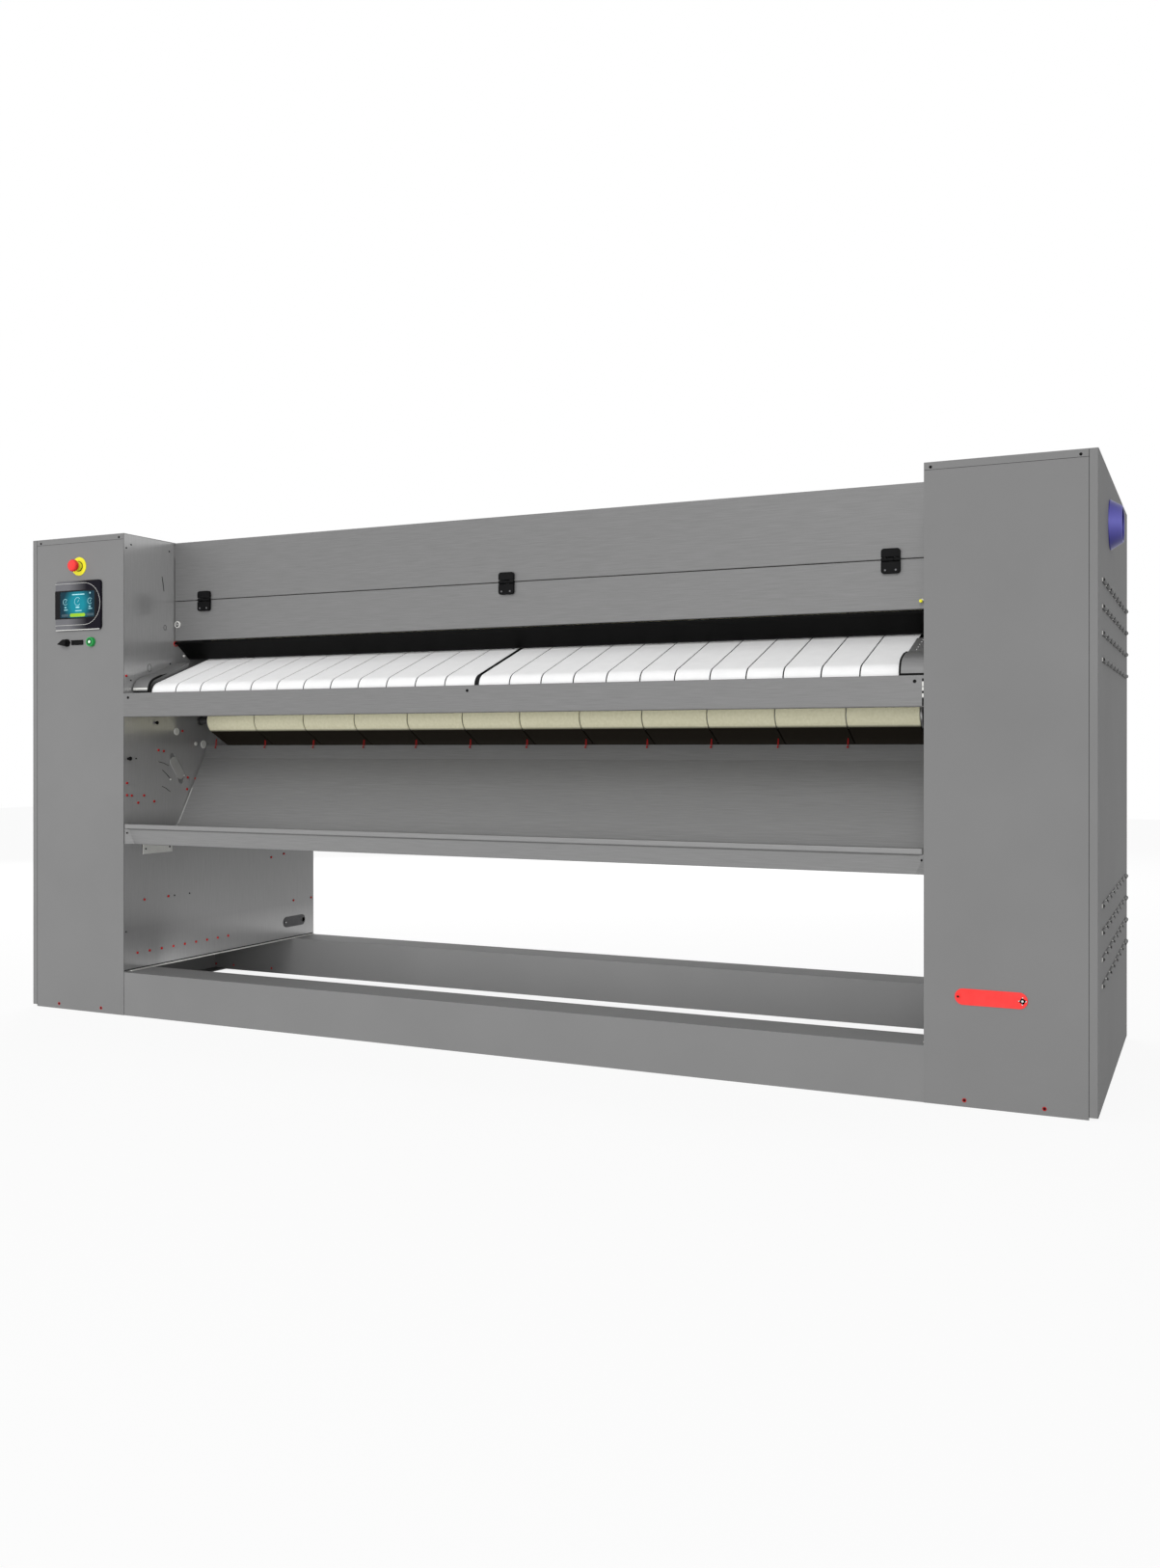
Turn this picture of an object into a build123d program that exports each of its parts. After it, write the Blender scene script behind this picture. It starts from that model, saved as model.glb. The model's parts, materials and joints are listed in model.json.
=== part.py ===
"""Flatwork ironer: a heated cylinder wrapped by ironing belts, a belted feed table and a collection tray.

Millimetres. X runs along the machine, the feed side faces -Y and Z = 0 is the floor. X = 0 and Y = 0 are the
middle of the machine's width and depth. Depths from the front face are written FRONT + d.
"""

import math
import os

from build123d import *

# Whole machine
WIDTH = 3336
DEPTH = 1015
HEIGHT = 1550
TOWER = 397                  # width of each end tower
SHEET = 2                    # thickness of every painted or polished sheet
BEND = 3                     # outer radius of a sheet's bends
RETURN = 20                  # width of the flange a cover turns round its edges
SIDE = WIDTH / 2             # outer face of a side panel
INNER = SIDE - TOWER         # face of an inner wall, towards the cylinder
FRONT = -DEPTH / 2
REAR = DEPTH / 2

# Base frame: two long channels, two short ones, floor bolts through the long ones
BEAM_HEIGHT = 138
BEAM_DEPTH = 131
BEAM_WALL = 4
SIDE_BEAM_DEPTH = 60
FRONT_BEAM = FRONT + SHEET   # front face of the front channel, behind the panels
REAR_BEAM = REAR - 136       # front face of the rear channel
BEAM_END = SIDE - SHEET - RETURN
PANEL_LOW = 6                # height of a side panel's lower edge
FLOOR_BOLT_X = SIDE - 218
FLOOR_BOLT_Y = REAR - 70
FLOOR_BOLT_R = 9

# Tower frame: angle posts, flat rails, a thick plate that carries every bearing
POST = 40
POST_WALL = 4
PLATE = 10
PLATE_TOP = 1500
WALL_BACK = INNER + SHEET
PLATE_BACK = WALL_BACK + PLATE
PLATE_FRONT = FRONT_BEAM + POST
PLATE_REAR = REAR - SHEET - POST

# Hood over the cylinder
HOOD_FRONT = FRONT + 236
HOOD_GAP = 3                 # open joint between the hood and each inner wall
HOOD_END = INNER - HOOD_GAP
SEAM_Z = 1353                # joint between the fixed front and the flap
SEAM = 2
FLAP_BOTTOM = 1219
REAR_COVER_BOTTOM = 560
RAIL_TOP = 1540
RAIL_HEIGHT = 40
RAIL_DEPTH = 30
REAR_RAIL_DEPTH = 20
RAIL_WALL = 3
HINGE_X = INNER - 131
HINGE_WIDTH = 50
HINGE_UP = 28
HINGE_DOWN = 38
HINGE_LEAF = 3
KNUCKLE_R = 5
KNUCKLE_SIDES = 16
KNUCKLE_Y = HOOD_FRONT - KNUCKLE_R
LOCK_X = -INNER + 16
LOCK_Z = 1274

# Finger guard under the flap
GUARD_Y = HOOD_FRONT + 4
GUARD_Z = 1212
GUARD_REACH_Y = 62
GUARD_DROP = 50
GUARD_THICK = 3
GUARD_END = INNER - 5
GUARD_PIN_R = 4

# Running and standing clearances
TURN_FIT = 0.05              # radial gap in a bearing
BELT_FIT = 0.3               # gap between a belt and what it runs on
BELT_STEP = 2                # how far the corners of a belt's stepped bend stand off its circle
CLEAR = 0.5                  # radial gap where a shaft passes a plate without touching

# Heated cylinder
CYLINDER_Y = FRONT + 665
CYLINDER_Z = 1165
CYLINDER_R = 250
CYLINDER_WALL = 10
CYLINDER_END = INNER - 41
END_PLATE = 16
JOURNAL_R = 40
JOURNAL_BORE_R = 30
JOURNAL_HOLE = 104
CYLINDER_BLOCK = 150
CYLINDER_BLOCK_WIDE = 60
BLOCK_END = PLATE_BACK + CYLINDER_BLOCK_WIDE

# Static heaters inside the cylinder
HEATER_BEAM = 38
HEATER_STRIP = 24
HEATER_RING_R = 190
HEATER_COUNT = 6
HEATER_END = CYLINDER_END - 60
YOKE_X = BLOCK_END + 90
YOKE_WALL = 8
YOKE_HALF = 190
YOKE_TALL = 60

# Ironing belts and their rollers: centre depth and height of each roller
BELT_COUNT = 12
BELT_SIDE_GAP = 3
BAND = 2 * (INNER - 71)      # width covered by a row of belts
IRONING_BELT = 4
IRONING_PITCH = BAND / BELT_COUNT
NIP_R = 40
NIP_GAP = 2.5                # open distance left between the nip roller's belt and the cylinder's
NIP_TURN = math.radians(165) # direction of the nip roller from the cylinder, from +Y towards +Z
NIP_REACH = CYLINDER_R + NIP_R + IRONING_BELT + 2 * BELT_FIT + NIP_GAP
NIP = (CYLINDER_Y + NIP_REACH * math.cos(NIP_TURN), CYLINDER_Z + NIP_REACH * math.sin(NIP_TURN), NIP_R)
FRONT_RETURN = (FRONT + 358.5, 952.5, 40.7)
REAR_LOW = (FRONT + 921, 652, 40)
REAR_UP = (FRONT + 948, 1430, 40)
TOP_FRONT = (FRONT + 415, 1440, 40)
ROLLER_END = BAND / 2 + 4
AXLE = 20                    # side of a roller's square axle, which stands still
AXLE_END = PLATE_BACK + 6
ROLLER_BORE_R = AXLE / math.sqrt(2) + BELT_FIT

# Feed table
FEED_BELT_COUNT = 24
FEED_BELT = 1.7
FEED_CENTRE_GAP = 11
FEED_PITCH = BAND / FEED_BELT_COUNT
FEED_FRONT = (FRONT + 88, 1036, 35)
FEED_REAR = (FRONT + 375.9, 1146.1, 30)
TABLE_MARGIN = 34            # distance from a roller's contact line to the table's edge
TABLE_LIP = 14
SHROUD_FRONT = FRONT + 49
SHROUD_INNER = BAND / 2 + 8
SHROUD_R = 34
SHROUD_BOTTOM = 985
SHROUD_KNEE_Z = 1073.5
SHROUD_TOP_Z = 1145
CROSSBAR_LOW = 959
CROSSBAR_HIGH = 1036
CROSSBAR_DEEP = 26

# Collection tray
TRAY_END = INNER - 5
TRAY_LINE = (
    (FRONT + 8, 615), (FRONT, 615), (FRONT, 601), (FRONT + 10, 597), (FRONT + 25, 549.5),
    (FRONT + 210, 549.5), (FRONT + 247, 599), (FRONT + 377, 824), (FRONT + 395, 868),
)
TRAY_FLOOR = 549.5
BRACKET_FRONT = FRONT + 86
BRACKET_REAR = FRONT + 222
BRACKET_BOTTOM = 512
BRACKET_SHELF = 44
BRACKET_WALL = 3

# Drive in the right tower
CHAIN_X = BLOCK_END + 9
CHAIN_WIDE = 20
CHAIN = 8
CYLINDER_WHEEL_R = 160
CYLINDER_WHEEL_TEETH = 48
MOTOR_WHEEL_R = 50
MOTOR_WHEEL_TEETH = 15
MOTOR_SHAFT_R = 15
MOTOR_Z = 264
MOTOR_X = INNER + 159
MOTOR_R = 62
MOTOR_REAR = CYLINDER_Y - 80
MOTOR_FRONT = CYLINDER_Y - 360
CRANK = 16
CRANK_LENGTH = 60
GEARBOX = (INNER + 114, INNER + 204)
GEARBOX_TOP = 340
SHELF = 6

# Vapour extraction in the right tower
FAN_Y = FRONT + 812
FAN_Z = 1365
FAN_HALF = 112
FAN_X = (INNER + 129, INNER + 219)
FAN_WALL = 3
DUCT = 90
IMPELLER_R = 96
IMPELLER_BLADES = 18
HUB_R = 24
FAN_MIDDLE = (FAN_X[0] + FAN_X[1]) / 2
PIPE_HALF = 40               # half the side of the square duct behind the fan
SPIGOT_R = 62
SPIGOT_Z = FAN_Z + FAN_HALF - SPIGOT_R
SPIGOT_OUT = 50
FAN_MOTOR = 90

# Louvres and cowl of the right side panel
LOUVRE_ROWS = (1257.5, 1194.5, 1131.5, 1068.5, 485, 421.5, 358, 294.5)
LOUVRE_COUNT = 8
LOUVRE_PITCH = 110
LOUVRE_LONG = 82
LOUVRE_TALL = 6
LOUVRE_FIRST = FRONT + 146
COWL_Y = FRONT + 350
COWL_Z = 1423
COWL_R = 63.5
COWL_TIP_R = 46
COWL_OUT = 31
COWL_WALL = 3
COWL_SIDES = 24

# Controls of the left tower
TOUCH_X = (-SIDE + 109.2, -SIDE + 306.9)
TOUCH_Z = (1244, 1406)
SCREEN_X = (-SIDE + 131, -SIDE + 281)
SCREEN_Z = (1286, 1371)
TOUCH_OUT = 8
TOUCH_DEEP = 42
TOUCH_CORNER = 12
TOUCH_RIM = 8
STOP_X = -SIDE + 207.7
STOP_Z = 1453
STOP_PLATE_R = 30
STOP_HEAD_R = 20
STOP_HEAD = 16
STOP_TRAVEL = 6
COLLAR_R = 14.5
COLLAR_OUT = 12
STEM_R = 8
START_X = -SIDE + 262
START_Z = 1204.5
START_RING_R = 15.5
START_R = 10.5
START_TRAVEL = 4
SELECT_X = -SIDE + 158
SELECT_Z = 1205
SELECT_R = 16
USB_X = (-SIDE + 174, -SIDE + 226)
USB_Z = (1196.5, 1211)
USB_CAP = 3
USB_PIN_R = 1.5

# Light obround slot in the left inner wall
SLOT_Y = FRONT + 247.5
SLOT_Z = 790.5
SLOT_LONG = 115
SLOT_WIDE = 24
SLOT_LEAN = 62

# Swinging covers: right tower front, and the foot of the left inner wall
COVER_LONG = 168
COVER_TALL = 39
COVER_X = INNER + 157.8
COVER_Z = 264
COVER_PIVOT = 76             # distance of the pivot screw from the middle of the cover
PIVOT_R = 5
PIVOT_OUT = 3
COVER_HOLE_LONG = 110
COVER_HOLE_TALL = 26
WALL_COVER_Y = FRONT + 891.5
WALL_COVER_Z = 202.5
WALL_COVER_LONG = 131
WALL_COVER_PIVOT = 56

# Switchgear in the left tower and the supply entry at its rear
GEAR_Y = (FRONT + 210, FRONT + 850)
GEAR_Z = (190, 590)
GEAR_STAND = 16
SWITCH_X = -SIDE + 198
SWITCH_Z = 1180
SWITCH_R = 26
GLAND_X = -SIDE + 198
GLAND_Z = 230
GLAND_R = 19
GLAND_OUT = 28


def block(x, y, z, mode=Mode.ADD):
    """A box between the low and high ends given for each axis."""
    with Locations(((x[0] + x[1]) / 2, (y[0] + y[1]) / 2, (z[0] + z[1]) / 2)):
        Box(x[1] - x[0], y[1] - y[0], z[1] - z[0], mode=mode)


def rod_x(x, y, z, radius, mode=Mode.ADD):
    """A round bar along X between two ends."""
    with Locations(Location(((x[0] + x[1]) / 2, y, z), (0, 90, 0))):
        Cylinder(radius, x[1] - x[0], mode=mode)


def rod_y(x, y, z, radius, mode=Mode.ADD):
    """A round bar along Y between two ends."""
    with Locations(Location((x, (y[0] + y[1]) / 2, z), (90, 0, 0))):
        Cylinder(radius, y[1] - y[0], mode=mode)


def folded(plane, points, length, thickness=SHEET, bend=BEND, side=Side.LEFT):
    """A bent sheet: its outer line on a plane, given a thickness and extruded to both sides."""
    with BuildSketch(plane) as section:
        with BuildLine():
            if bend:
                FilletPolyline(*points, radius=bend)
            else:
                Polyline(*points)
            offset(amount=thickness, side=side, kind=Kind.ARC if bend else Kind.INTERSECTION)
        make_face()
    extrude(section.sketch, amount=length / 2, both=True)


def around(middle, half):
    """The low and high ends of a span about its middle."""
    return (middle - half, middle + half)


def mirrored(span):
    """A span on the other side of zero."""
    return (-span[1], -span[0])


def heading(first, second):
    """Direction of the straight run that touches two circles of signed radius, one after the other."""
    across, up = second[0] - first[0], second[1] - first[1]
    return math.atan2(up, across) - math.asin((second[2] - first[2]) / math.hypot(across, up))


def contact(circle, direction):
    """Where a run in a direction touches a circle; a positive radius lies on the left of travel."""
    return (circle[0] + circle[2] * math.sin(direction), circle[1] - circle[2] * math.cos(direction))


def closed_run(circles, shift=0):
    """Draws a belt's closed line past the circles in order, the whole moved left by a shift.

    Every bend is drawn in equal straight steps that touch its circle, with corners up to BELT_STEP off it.
    """
    following = circles[1:] + circles[:1]
    leaving = [heading(this, after) for this, after in zip(circles, following)]
    arriving = leaving[-1:] + leaving[:-1]
    corners = []
    for (y, z, radius), come, go in zip(circles, arriving, leaving):
        hand = math.copysign(1, radius)
        turn = (go - come) * hand % (2 * math.pi)
        steps = math.ceil(turn / (2 * math.acos(abs(radius) / (abs(radius) + BELT_STEP))))
        half = turn / steps / 2
        for step in range(steps):
            corners.append(
                contact((y, z, (radius - shift) / math.cos(half)), come + hand * half * (2 * step + 1))
            )
    Polyline(*corners, close=True)


def belt(circles, thickness, width):
    """One endless belt of a thickness and width, centred on X = 0, its inner line past the circles."""
    with BuildSketch(Plane.YZ) as section:
        with BuildLine():
            closed_run(circles, -thickness)
        make_face()
        with BuildLine():
            closed_run(circles)
        make_face(mode=Mode.SUBTRACT)
    extrude(section.sketch, amount=width / 2, both=True)


def roller(place):
    """A roller under the belts, from its centre and radius, bored for its still axle."""
    rod_x((-ROLLER_END, ROLLER_END), place[0], place[1], place[2])
    rod_x((-ROLLER_END, ROLLER_END), place[0], place[1], ROLLER_BORE_R, Mode.SUBTRACT)


ROLLERS = (NIP, FRONT_RETURN, REAR_LOW, REAR_UP, TOP_FRONT, FEED_FRONT, FEED_REAR)


def shaft_openings(x):
    """Cuts a plate between two X ends for the cylinder, every axle and the guard's pins."""
    block(x, around(CYLINDER_Y, JOURNAL_HOLE / 2), around(CYLINDER_Z, JOURNAL_HOLE / 2), Mode.SUBTRACT)
    for y, z, _ in ROLLERS:
        block(x, around(y, AXLE / 2), around(z, AXLE / 2), Mode.SUBTRACT)
    pin = GUARD_PIN_R + BELT_FIT
    block(x, around(GUARD_Y, pin), around(GUARD_Z, pin), Mode.SUBTRACT)


def touch_box():
    """Low and high corners, in X and Z, of the touch unit's body behind the panel."""
    return (
        (TOUCH_X[0] + TOUCH_RIM, TOUCH_Z[0] + TOUCH_RIM), (TOUCH_X[1] - TOUCH_RIM, TOUCH_Z[1] - TOUCH_RIM)
    )


def knuckle_bar(x, z):
    """A hinge knuckle between two X ends, centred on the hinge's line at a height."""
    with BuildSketch(Plane.YZ.offset(x[0])) as section:
        with Locations((KNUCKLE_Y, z)):
            RegularPolygon(KNUCKLE_R, KNUCKLE_SIDES)
    extrude(section.sketch, amount=x[1] - x[0])


# ---- Base frame ----

with BuildPart() as front_beam:
    folded(
        Plane.YZ,
        [(FRONT_BEAM + BEAM_DEPTH, 0), (FRONT_BEAM, 0), (FRONT_BEAM, BEAM_HEIGHT),
         (FRONT_BEAM + BEAM_DEPTH, BEAM_HEIGHT)],
        2 * BEAM_END, BEAM_WALL, 0, Side.RIGHT,
    )
    with Locations((-FLOOR_BOLT_X, -FLOOR_BOLT_Y, 0), (FLOOR_BOLT_X, -FLOOR_BOLT_Y, 0)):
        Cylinder(FLOOR_BOLT_R, 4 * BEAM_WALL, mode=Mode.SUBTRACT)

with BuildPart() as rear_beam:
    folded(
        Plane.YZ,
        [(REAR_BEAM + BEAM_DEPTH, 0), (REAR_BEAM, 0), (REAR_BEAM, BEAM_HEIGHT),
         (REAR_BEAM + BEAM_DEPTH, BEAM_HEIGHT)],
        2 * BEAM_END, BEAM_WALL, 0, Side.RIGHT,
    )
    with Locations((-FLOOR_BOLT_X, FLOOR_BOLT_Y, 0), (FLOOR_BOLT_X, FLOOR_BOLT_Y, 0)):
        Cylinder(FLOOR_BOLT_R, 4 * BEAM_WALL, mode=Mode.SUBTRACT)

with BuildPart() as side_beams:
    span = (FRONT_BEAM + BEAM_DEPTH, REAR_BEAM)
    folded(
        Plane.XZ.offset(-(span[0] + span[1]) / 2),
        [(BEAM_END - SIDE_BEAM_DEPTH, 0), (BEAM_END, 0), (BEAM_END, BEAM_HEIGHT),
         (BEAM_END - SIDE_BEAM_DEPTH, BEAM_HEIGHT)],
        span[1] - span[0], BEAM_WALL, 0,
    )
    mirror(about=Plane.YZ)

# ---- Towers ----

with BuildPart() as tower_frames:
    top = HEIGHT - SHEET
    outer = SIDE - SHEET
    for y_face, inward in ((FRONT_BEAM, 1), (REAR - SHEET, -1)):
        deep = sorted((y_face, y_face + inward * POST))
        skin = sorted((y_face, y_face + inward * POST_WALL))
        block((outer - POST, outer), skin, (BEAM_HEIGHT, top))
        block((outer - POST_WALL, outer), deep, (BEAM_HEIGHT, top))
        block((WALL_BACK, WALL_BACK + POST), skin, (BEAM_HEIGHT, top))
        block((WALL_BACK, WALL_BACK + POST_WALL), deep, (BEAM_HEIGHT, top))
        block((WALL_BACK, outer), skin, (top - POST, top))
    block((outer - POST_WALL, outer), (FRONT_BEAM, REAR - SHEET), (top - POST, top))
    block((WALL_BACK, WALL_BACK + POST_WALL), (FRONT_BEAM, REAR - SHEET), (top - POST, top))
    upright = edges().filter_by(Axis.Z).filter_by_position(Axis.X, outer - 0.1, outer + 0.1).sort_by(Axis.Y)
    chamfer([edge for edge in upright if abs(edge.center().Y) > REAR - SHEET - 0.1], BEND - SHEET + 0.5)
    mirror(about=Plane.YZ)

with BuildPart() as bearing_plates:
    block((WALL_BACK, PLATE_BACK), (PLATE_FRONT, PLATE_REAR), (BEAM_HEIGHT, PLATE_TOP))
    shaft_openings((WALL_BACK, PLATE_BACK))
    mirror(about=Plane.YZ)
    block((WALL_BACK, PLATE_BACK), around(FAN_Y, DUCT / 2), around(FAN_Z, DUCT / 2), Mode.SUBTRACT)

with BuildPart() as left_inner_wall:
    wall = mirrored((INNER, WALL_BACK))
    block(wall, (FRONT_BEAM, REAR - SHEET), (BEAM_HEIGHT, HEIGHT - SHEET))
    shaft_openings(wall)
    with BuildSketch(Plane.YZ.offset(-INNER)):
        with Locations(Location((SLOT_Y, SLOT_Z), -SLOT_LEAN)):
            SlotOverall(SLOT_LONG, SLOT_WIDE)
    extrude(amount=-SHEET, mode=Mode.SUBTRACT)

with BuildPart() as right_inner_wall:
    block((INNER, WALL_BACK), (FRONT_BEAM, REAR - SHEET), (BEAM_HEIGHT, HEIGHT - SHEET))
    shaft_openings((INNER, WALL_BACK))
    block((INNER, WALL_BACK), around(FAN_Y, DUCT / 2), around(FAN_Z, DUCT / 2), Mode.SUBTRACT)

with BuildPart() as left_front_panel:
    block(mirrored((INNER, SIDE - RETURN)), (FRONT, FRONT + SHEET), (0, HEIGHT - RETURN))
    low, high = touch_box()
    block((low[0], high[0]), (FRONT, FRONT + SHEET), (low[1], high[1]), Mode.SUBTRACT)

with BuildPart() as right_front_panel:
    block((INNER, SIDE - RETURN), (FRONT, FRONT + SHEET), (0, HEIGHT - RETURN))
    with BuildSketch(Plane.XZ.offset(-FRONT)):
        with Locations((COVER_X + COVER_TALL / 4, COVER_Z)):
            SlotOverall(COVER_HOLE_LONG, COVER_HOLE_TALL)
    extrude(amount=-SHEET, mode=Mode.SUBTRACT)

with BuildPart() as left_side_panel:
    with BuildSketch(Plane.XY.offset(PANEL_LOW)) as plan:
        with BuildLine():
            FilletPolyline(
                (-SIDE + RETURN, FRONT), (-SIDE, FRONT), (-SIDE, REAR), (-SIDE + RETURN, REAR), radius=BEND
            )
            offset(amount=SHEET, side=Side.RIGHT)
        make_face()
    extrude(amount=HEIGHT - RETURN - PANEL_LOW)
    block(
        (-SIDE, -BEAM_END), (FRONT + BEND, REAR - BEND), (PANEL_LOW, PANEL_LOW + SHEET)
    )

with BuildPart() as right_side_panel:
    mirror(left_side_panel.part, about=Plane.YZ)
    rod_x((SIDE - SHEET, SIDE), COWL_Y, COWL_Z, COWL_TIP_R, Mode.SUBTRACT)
    with BuildSketch(Plane.YZ.offset(SIDE)):
        middle = LOUVRE_FIRST + LOUVRE_PITCH * (LOUVRE_COUNT - 1) / 2
        for row in LOUVRE_ROWS:
            with Locations((middle, row + LOUVRE_TALL / 2)):
                with GridLocations(LOUVRE_PITCH, 1, LOUVRE_COUNT, 1):
                    Rectangle(LOUVRE_LONG, LOUVRE_TALL)
    extrude(amount=-SHEET, mode=Mode.SUBTRACT)

with BuildPart() as top_covers:
    block((INNER, SIDE), (FRONT, REAR), (HEIGHT - SHEET, HEIGHT))
    block((INNER, SIDE), (FRONT, FRONT + SHEET), (HEIGHT - RETURN, HEIGHT))
    block((INNER, SIDE), (REAR - SHEET, REAR), (HEIGHT - RETURN, HEIGHT))
    block((SIDE - SHEET, SIDE), (FRONT, REAR), (HEIGHT - RETURN, HEIGHT))
    fillet(edges().filter_by(Axis.Z).group_by(Axis.X)[-1], BEND)
    mirror(about=Plane.YZ)

with BuildPart() as rear_panels:
    block((WALL_BACK, SIDE - RETURN), (REAR - SHEET, REAR), (PANEL_LOW, HEIGHT - RETURN))
    mirror(about=Plane.YZ)
    opening = around(FAN_MIDDLE, PIPE_HALF + CLEAR)
    block(opening, (REAR - SHEET, REAR), around(SPIGOT_Z, PIPE_HALF + CLEAR), Mode.SUBTRACT)

# ---- Hood ----

with BuildPart() as hood_upper_panel:
    folded(
        Plane.YZ,
        [(HOOD_FRONT + RETURN, SEAM_Z), (HOOD_FRONT, SEAM_Z), (HOOD_FRONT, HEIGHT - 1),
         (REAR - 4, HEIGHT - 1)],
        2 * HOOD_END, SHEET, BEND, Side.RIGHT,
    )

with BuildPart() as rear_cover:
    folded(
        Plane.YZ,
        [(REAR - 4 - RETURN, REAR_COVER_BOTTOM), (REAR - 4, REAR_COVER_BOTTOM),
         (REAR - 4, HEIGHT - 1 - SHEET)],
        2 * HOOD_END, SHEET, BEND,
    )

with BuildPart() as hood_rails:
    rear_face = REAR - 4 - SHEET
    front_face = HOOD_FRONT + SHEET
    for y in ((front_face, front_face + RAIL_DEPTH), (rear_face - REAR_RAIL_DEPTH, rear_face)):
        block((-INNER, INNER), y, (RAIL_TOP - RAIL_HEIGHT, RAIL_TOP))
        block(
            (-INNER, INNER), (y[0] + RAIL_WALL, y[1] - RAIL_WALL),
            (RAIL_TOP - RAIL_HEIGHT + RAIL_WALL, RAIL_TOP - RAIL_WALL), Mode.SUBTRACT,
        )

with BuildPart() as hood_flap:
    folded(
        Plane.YZ,
        [(HOOD_FRONT + 10, FLAP_BOTTOM), (HOOD_FRONT, FLAP_BOTTOM), (HOOD_FRONT, SEAM_Z - SEAM)],
        2 * HOOD_END, SHEET, BEND, Side.RIGHT,
    )

with BuildPart() as hinge_upper_leaves:
    low, high = SEAM_Z - SEAM / 2, SEAM_Z - SEAM / 2 + HINGE_UP
    for middle in (-HINGE_X, 0, HINGE_X):
        block(around(middle, HINGE_WIDTH / 2), (HOOD_FRONT - HINGE_LEAF, HOOD_FRONT), (low + KNUCKLE_R, high))
        knuckle = around(middle, HINGE_WIDTH / 6 - CLEAR)
        block(knuckle, (HOOD_FRONT - KNUCKLE_R, HOOD_FRONT), (low, low + KNUCKLE_R))
        knuckle_bar(knuckle, low)

with BuildPart() as hinge_lower_leaves:
    low, high = SEAM_Z - SEAM / 2 - HINGE_DOWN, SEAM_Z - SEAM / 2
    for middle in (-HINGE_X, 0, HINGE_X):
        block(around(middle, HINGE_WIDTH / 2), (HOOD_FRONT - HINGE_LEAF, HOOD_FRONT), (low, high - KNUCKLE_R))
        for side in (-1, 1):
            knuckle = around(middle + side * HINGE_WIDTH / 3, HINGE_WIDTH / 6)
            block(knuckle, (HOOD_FRONT - KNUCKLE_R, HOOD_FRONT), (high - KNUCKLE_R, high))
            knuckle_bar(knuckle, high)

with BuildPart() as flap_lock:
    rod_y(LOCK_X, (HOOD_FRONT - 6, HOOD_FRONT), LOCK_Z, 11)
    block(around(LOCK_X, 2.5), (HOOD_FRONT - 16, HOOD_FRONT - 6), around(LOCK_Z, 10))

with BuildPart() as finger_guard:
    with BuildSketch(Plane.YZ):
        with BuildLine():
            Polyline(
                (GUARD_Y - 4, GUARD_Z + 2), (GUARD_Y + GUARD_REACH_Y, GUARD_Z - GUARD_DROP),
                (GUARD_Y + GUARD_REACH_Y + 12, GUARD_Z - GUARD_DROP + 4),
            )
            offset(amount=GUARD_THICK, side=Side.LEFT)
        make_face()
    extrude(amount=GUARD_END, both=True)
    rod_x((-WALL_BACK, WALL_BACK), GUARD_Y, GUARD_Z, GUARD_PIN_R)

# ---- Feed table ----

with BuildPart() as front_crossbar:
    folded(
        Plane.YZ,
        [(FRONT + CROSSBAR_DEEP, CROSSBAR_LOW), (FRONT, CROSSBAR_LOW), (FRONT, CROSSBAR_HIGH),
         (FRONT + CROSSBAR_DEEP, CROSSBAR_HIGH)],
        2 * INNER, SHEET, BEND, Side.RIGHT,
    )

with BuildPart() as feed_front_roller:
    roller(FEED_FRONT)

with BuildPart() as feed_rear_roller:
    roller(FEED_REAR)

FEED_LOOP = [(y, z, radius + BELT_FIT) for y, z, radius in (FEED_FRONT, FEED_REAR)]
with BuildPart() as one_feed_belt:
    belt(FEED_LOOP, FEED_BELT, FEED_PITCH - BELT_SIDE_GAP)

with BuildPart() as feed_belts:
    half = BAND / 4 + (FEED_CENTRE_GAP - BELT_SIDE_GAP) / 2
    with Locations((-half, 0, 0), (half, 0, 0)):
        with GridLocations(FEED_PITCH - (FEED_CENTRE_GAP - BELT_SIDE_GAP) / FEED_BELT_COUNT, 1,
                           FEED_BELT_COUNT // 2, 1):
            add(one_feed_belt.part)

with BuildPart() as feed_table:
    climb = heading(FEED_FRONT[:2] + (-FEED_FRONT[2],), FEED_REAR[:2] + (-FEED_REAR[2],))
    low = contact(FEED_FRONT[:2] + (-FEED_FRONT[2],), climb)
    high = contact(FEED_REAR[:2] + (-FEED_REAR[2],), climb)
    along, up = math.cos(climb), math.sin(climb)
    start = (low[0] + TABLE_MARGIN * along, low[1] + TABLE_MARGIN * up)
    end = (high[0] - TABLE_MARGIN * along, high[1] - TABLE_MARGIN * up)
    folded(
        Plane.YZ,
        [(start[0] + TABLE_LIP * up, start[1] - TABLE_LIP * along), start, end,
         (end[0] + TABLE_LIP * up, end[1] - TABLE_LIP * along)],
        2 * SHROUD_INNER, SHEET, 0, Side.RIGHT,
    )

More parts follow.
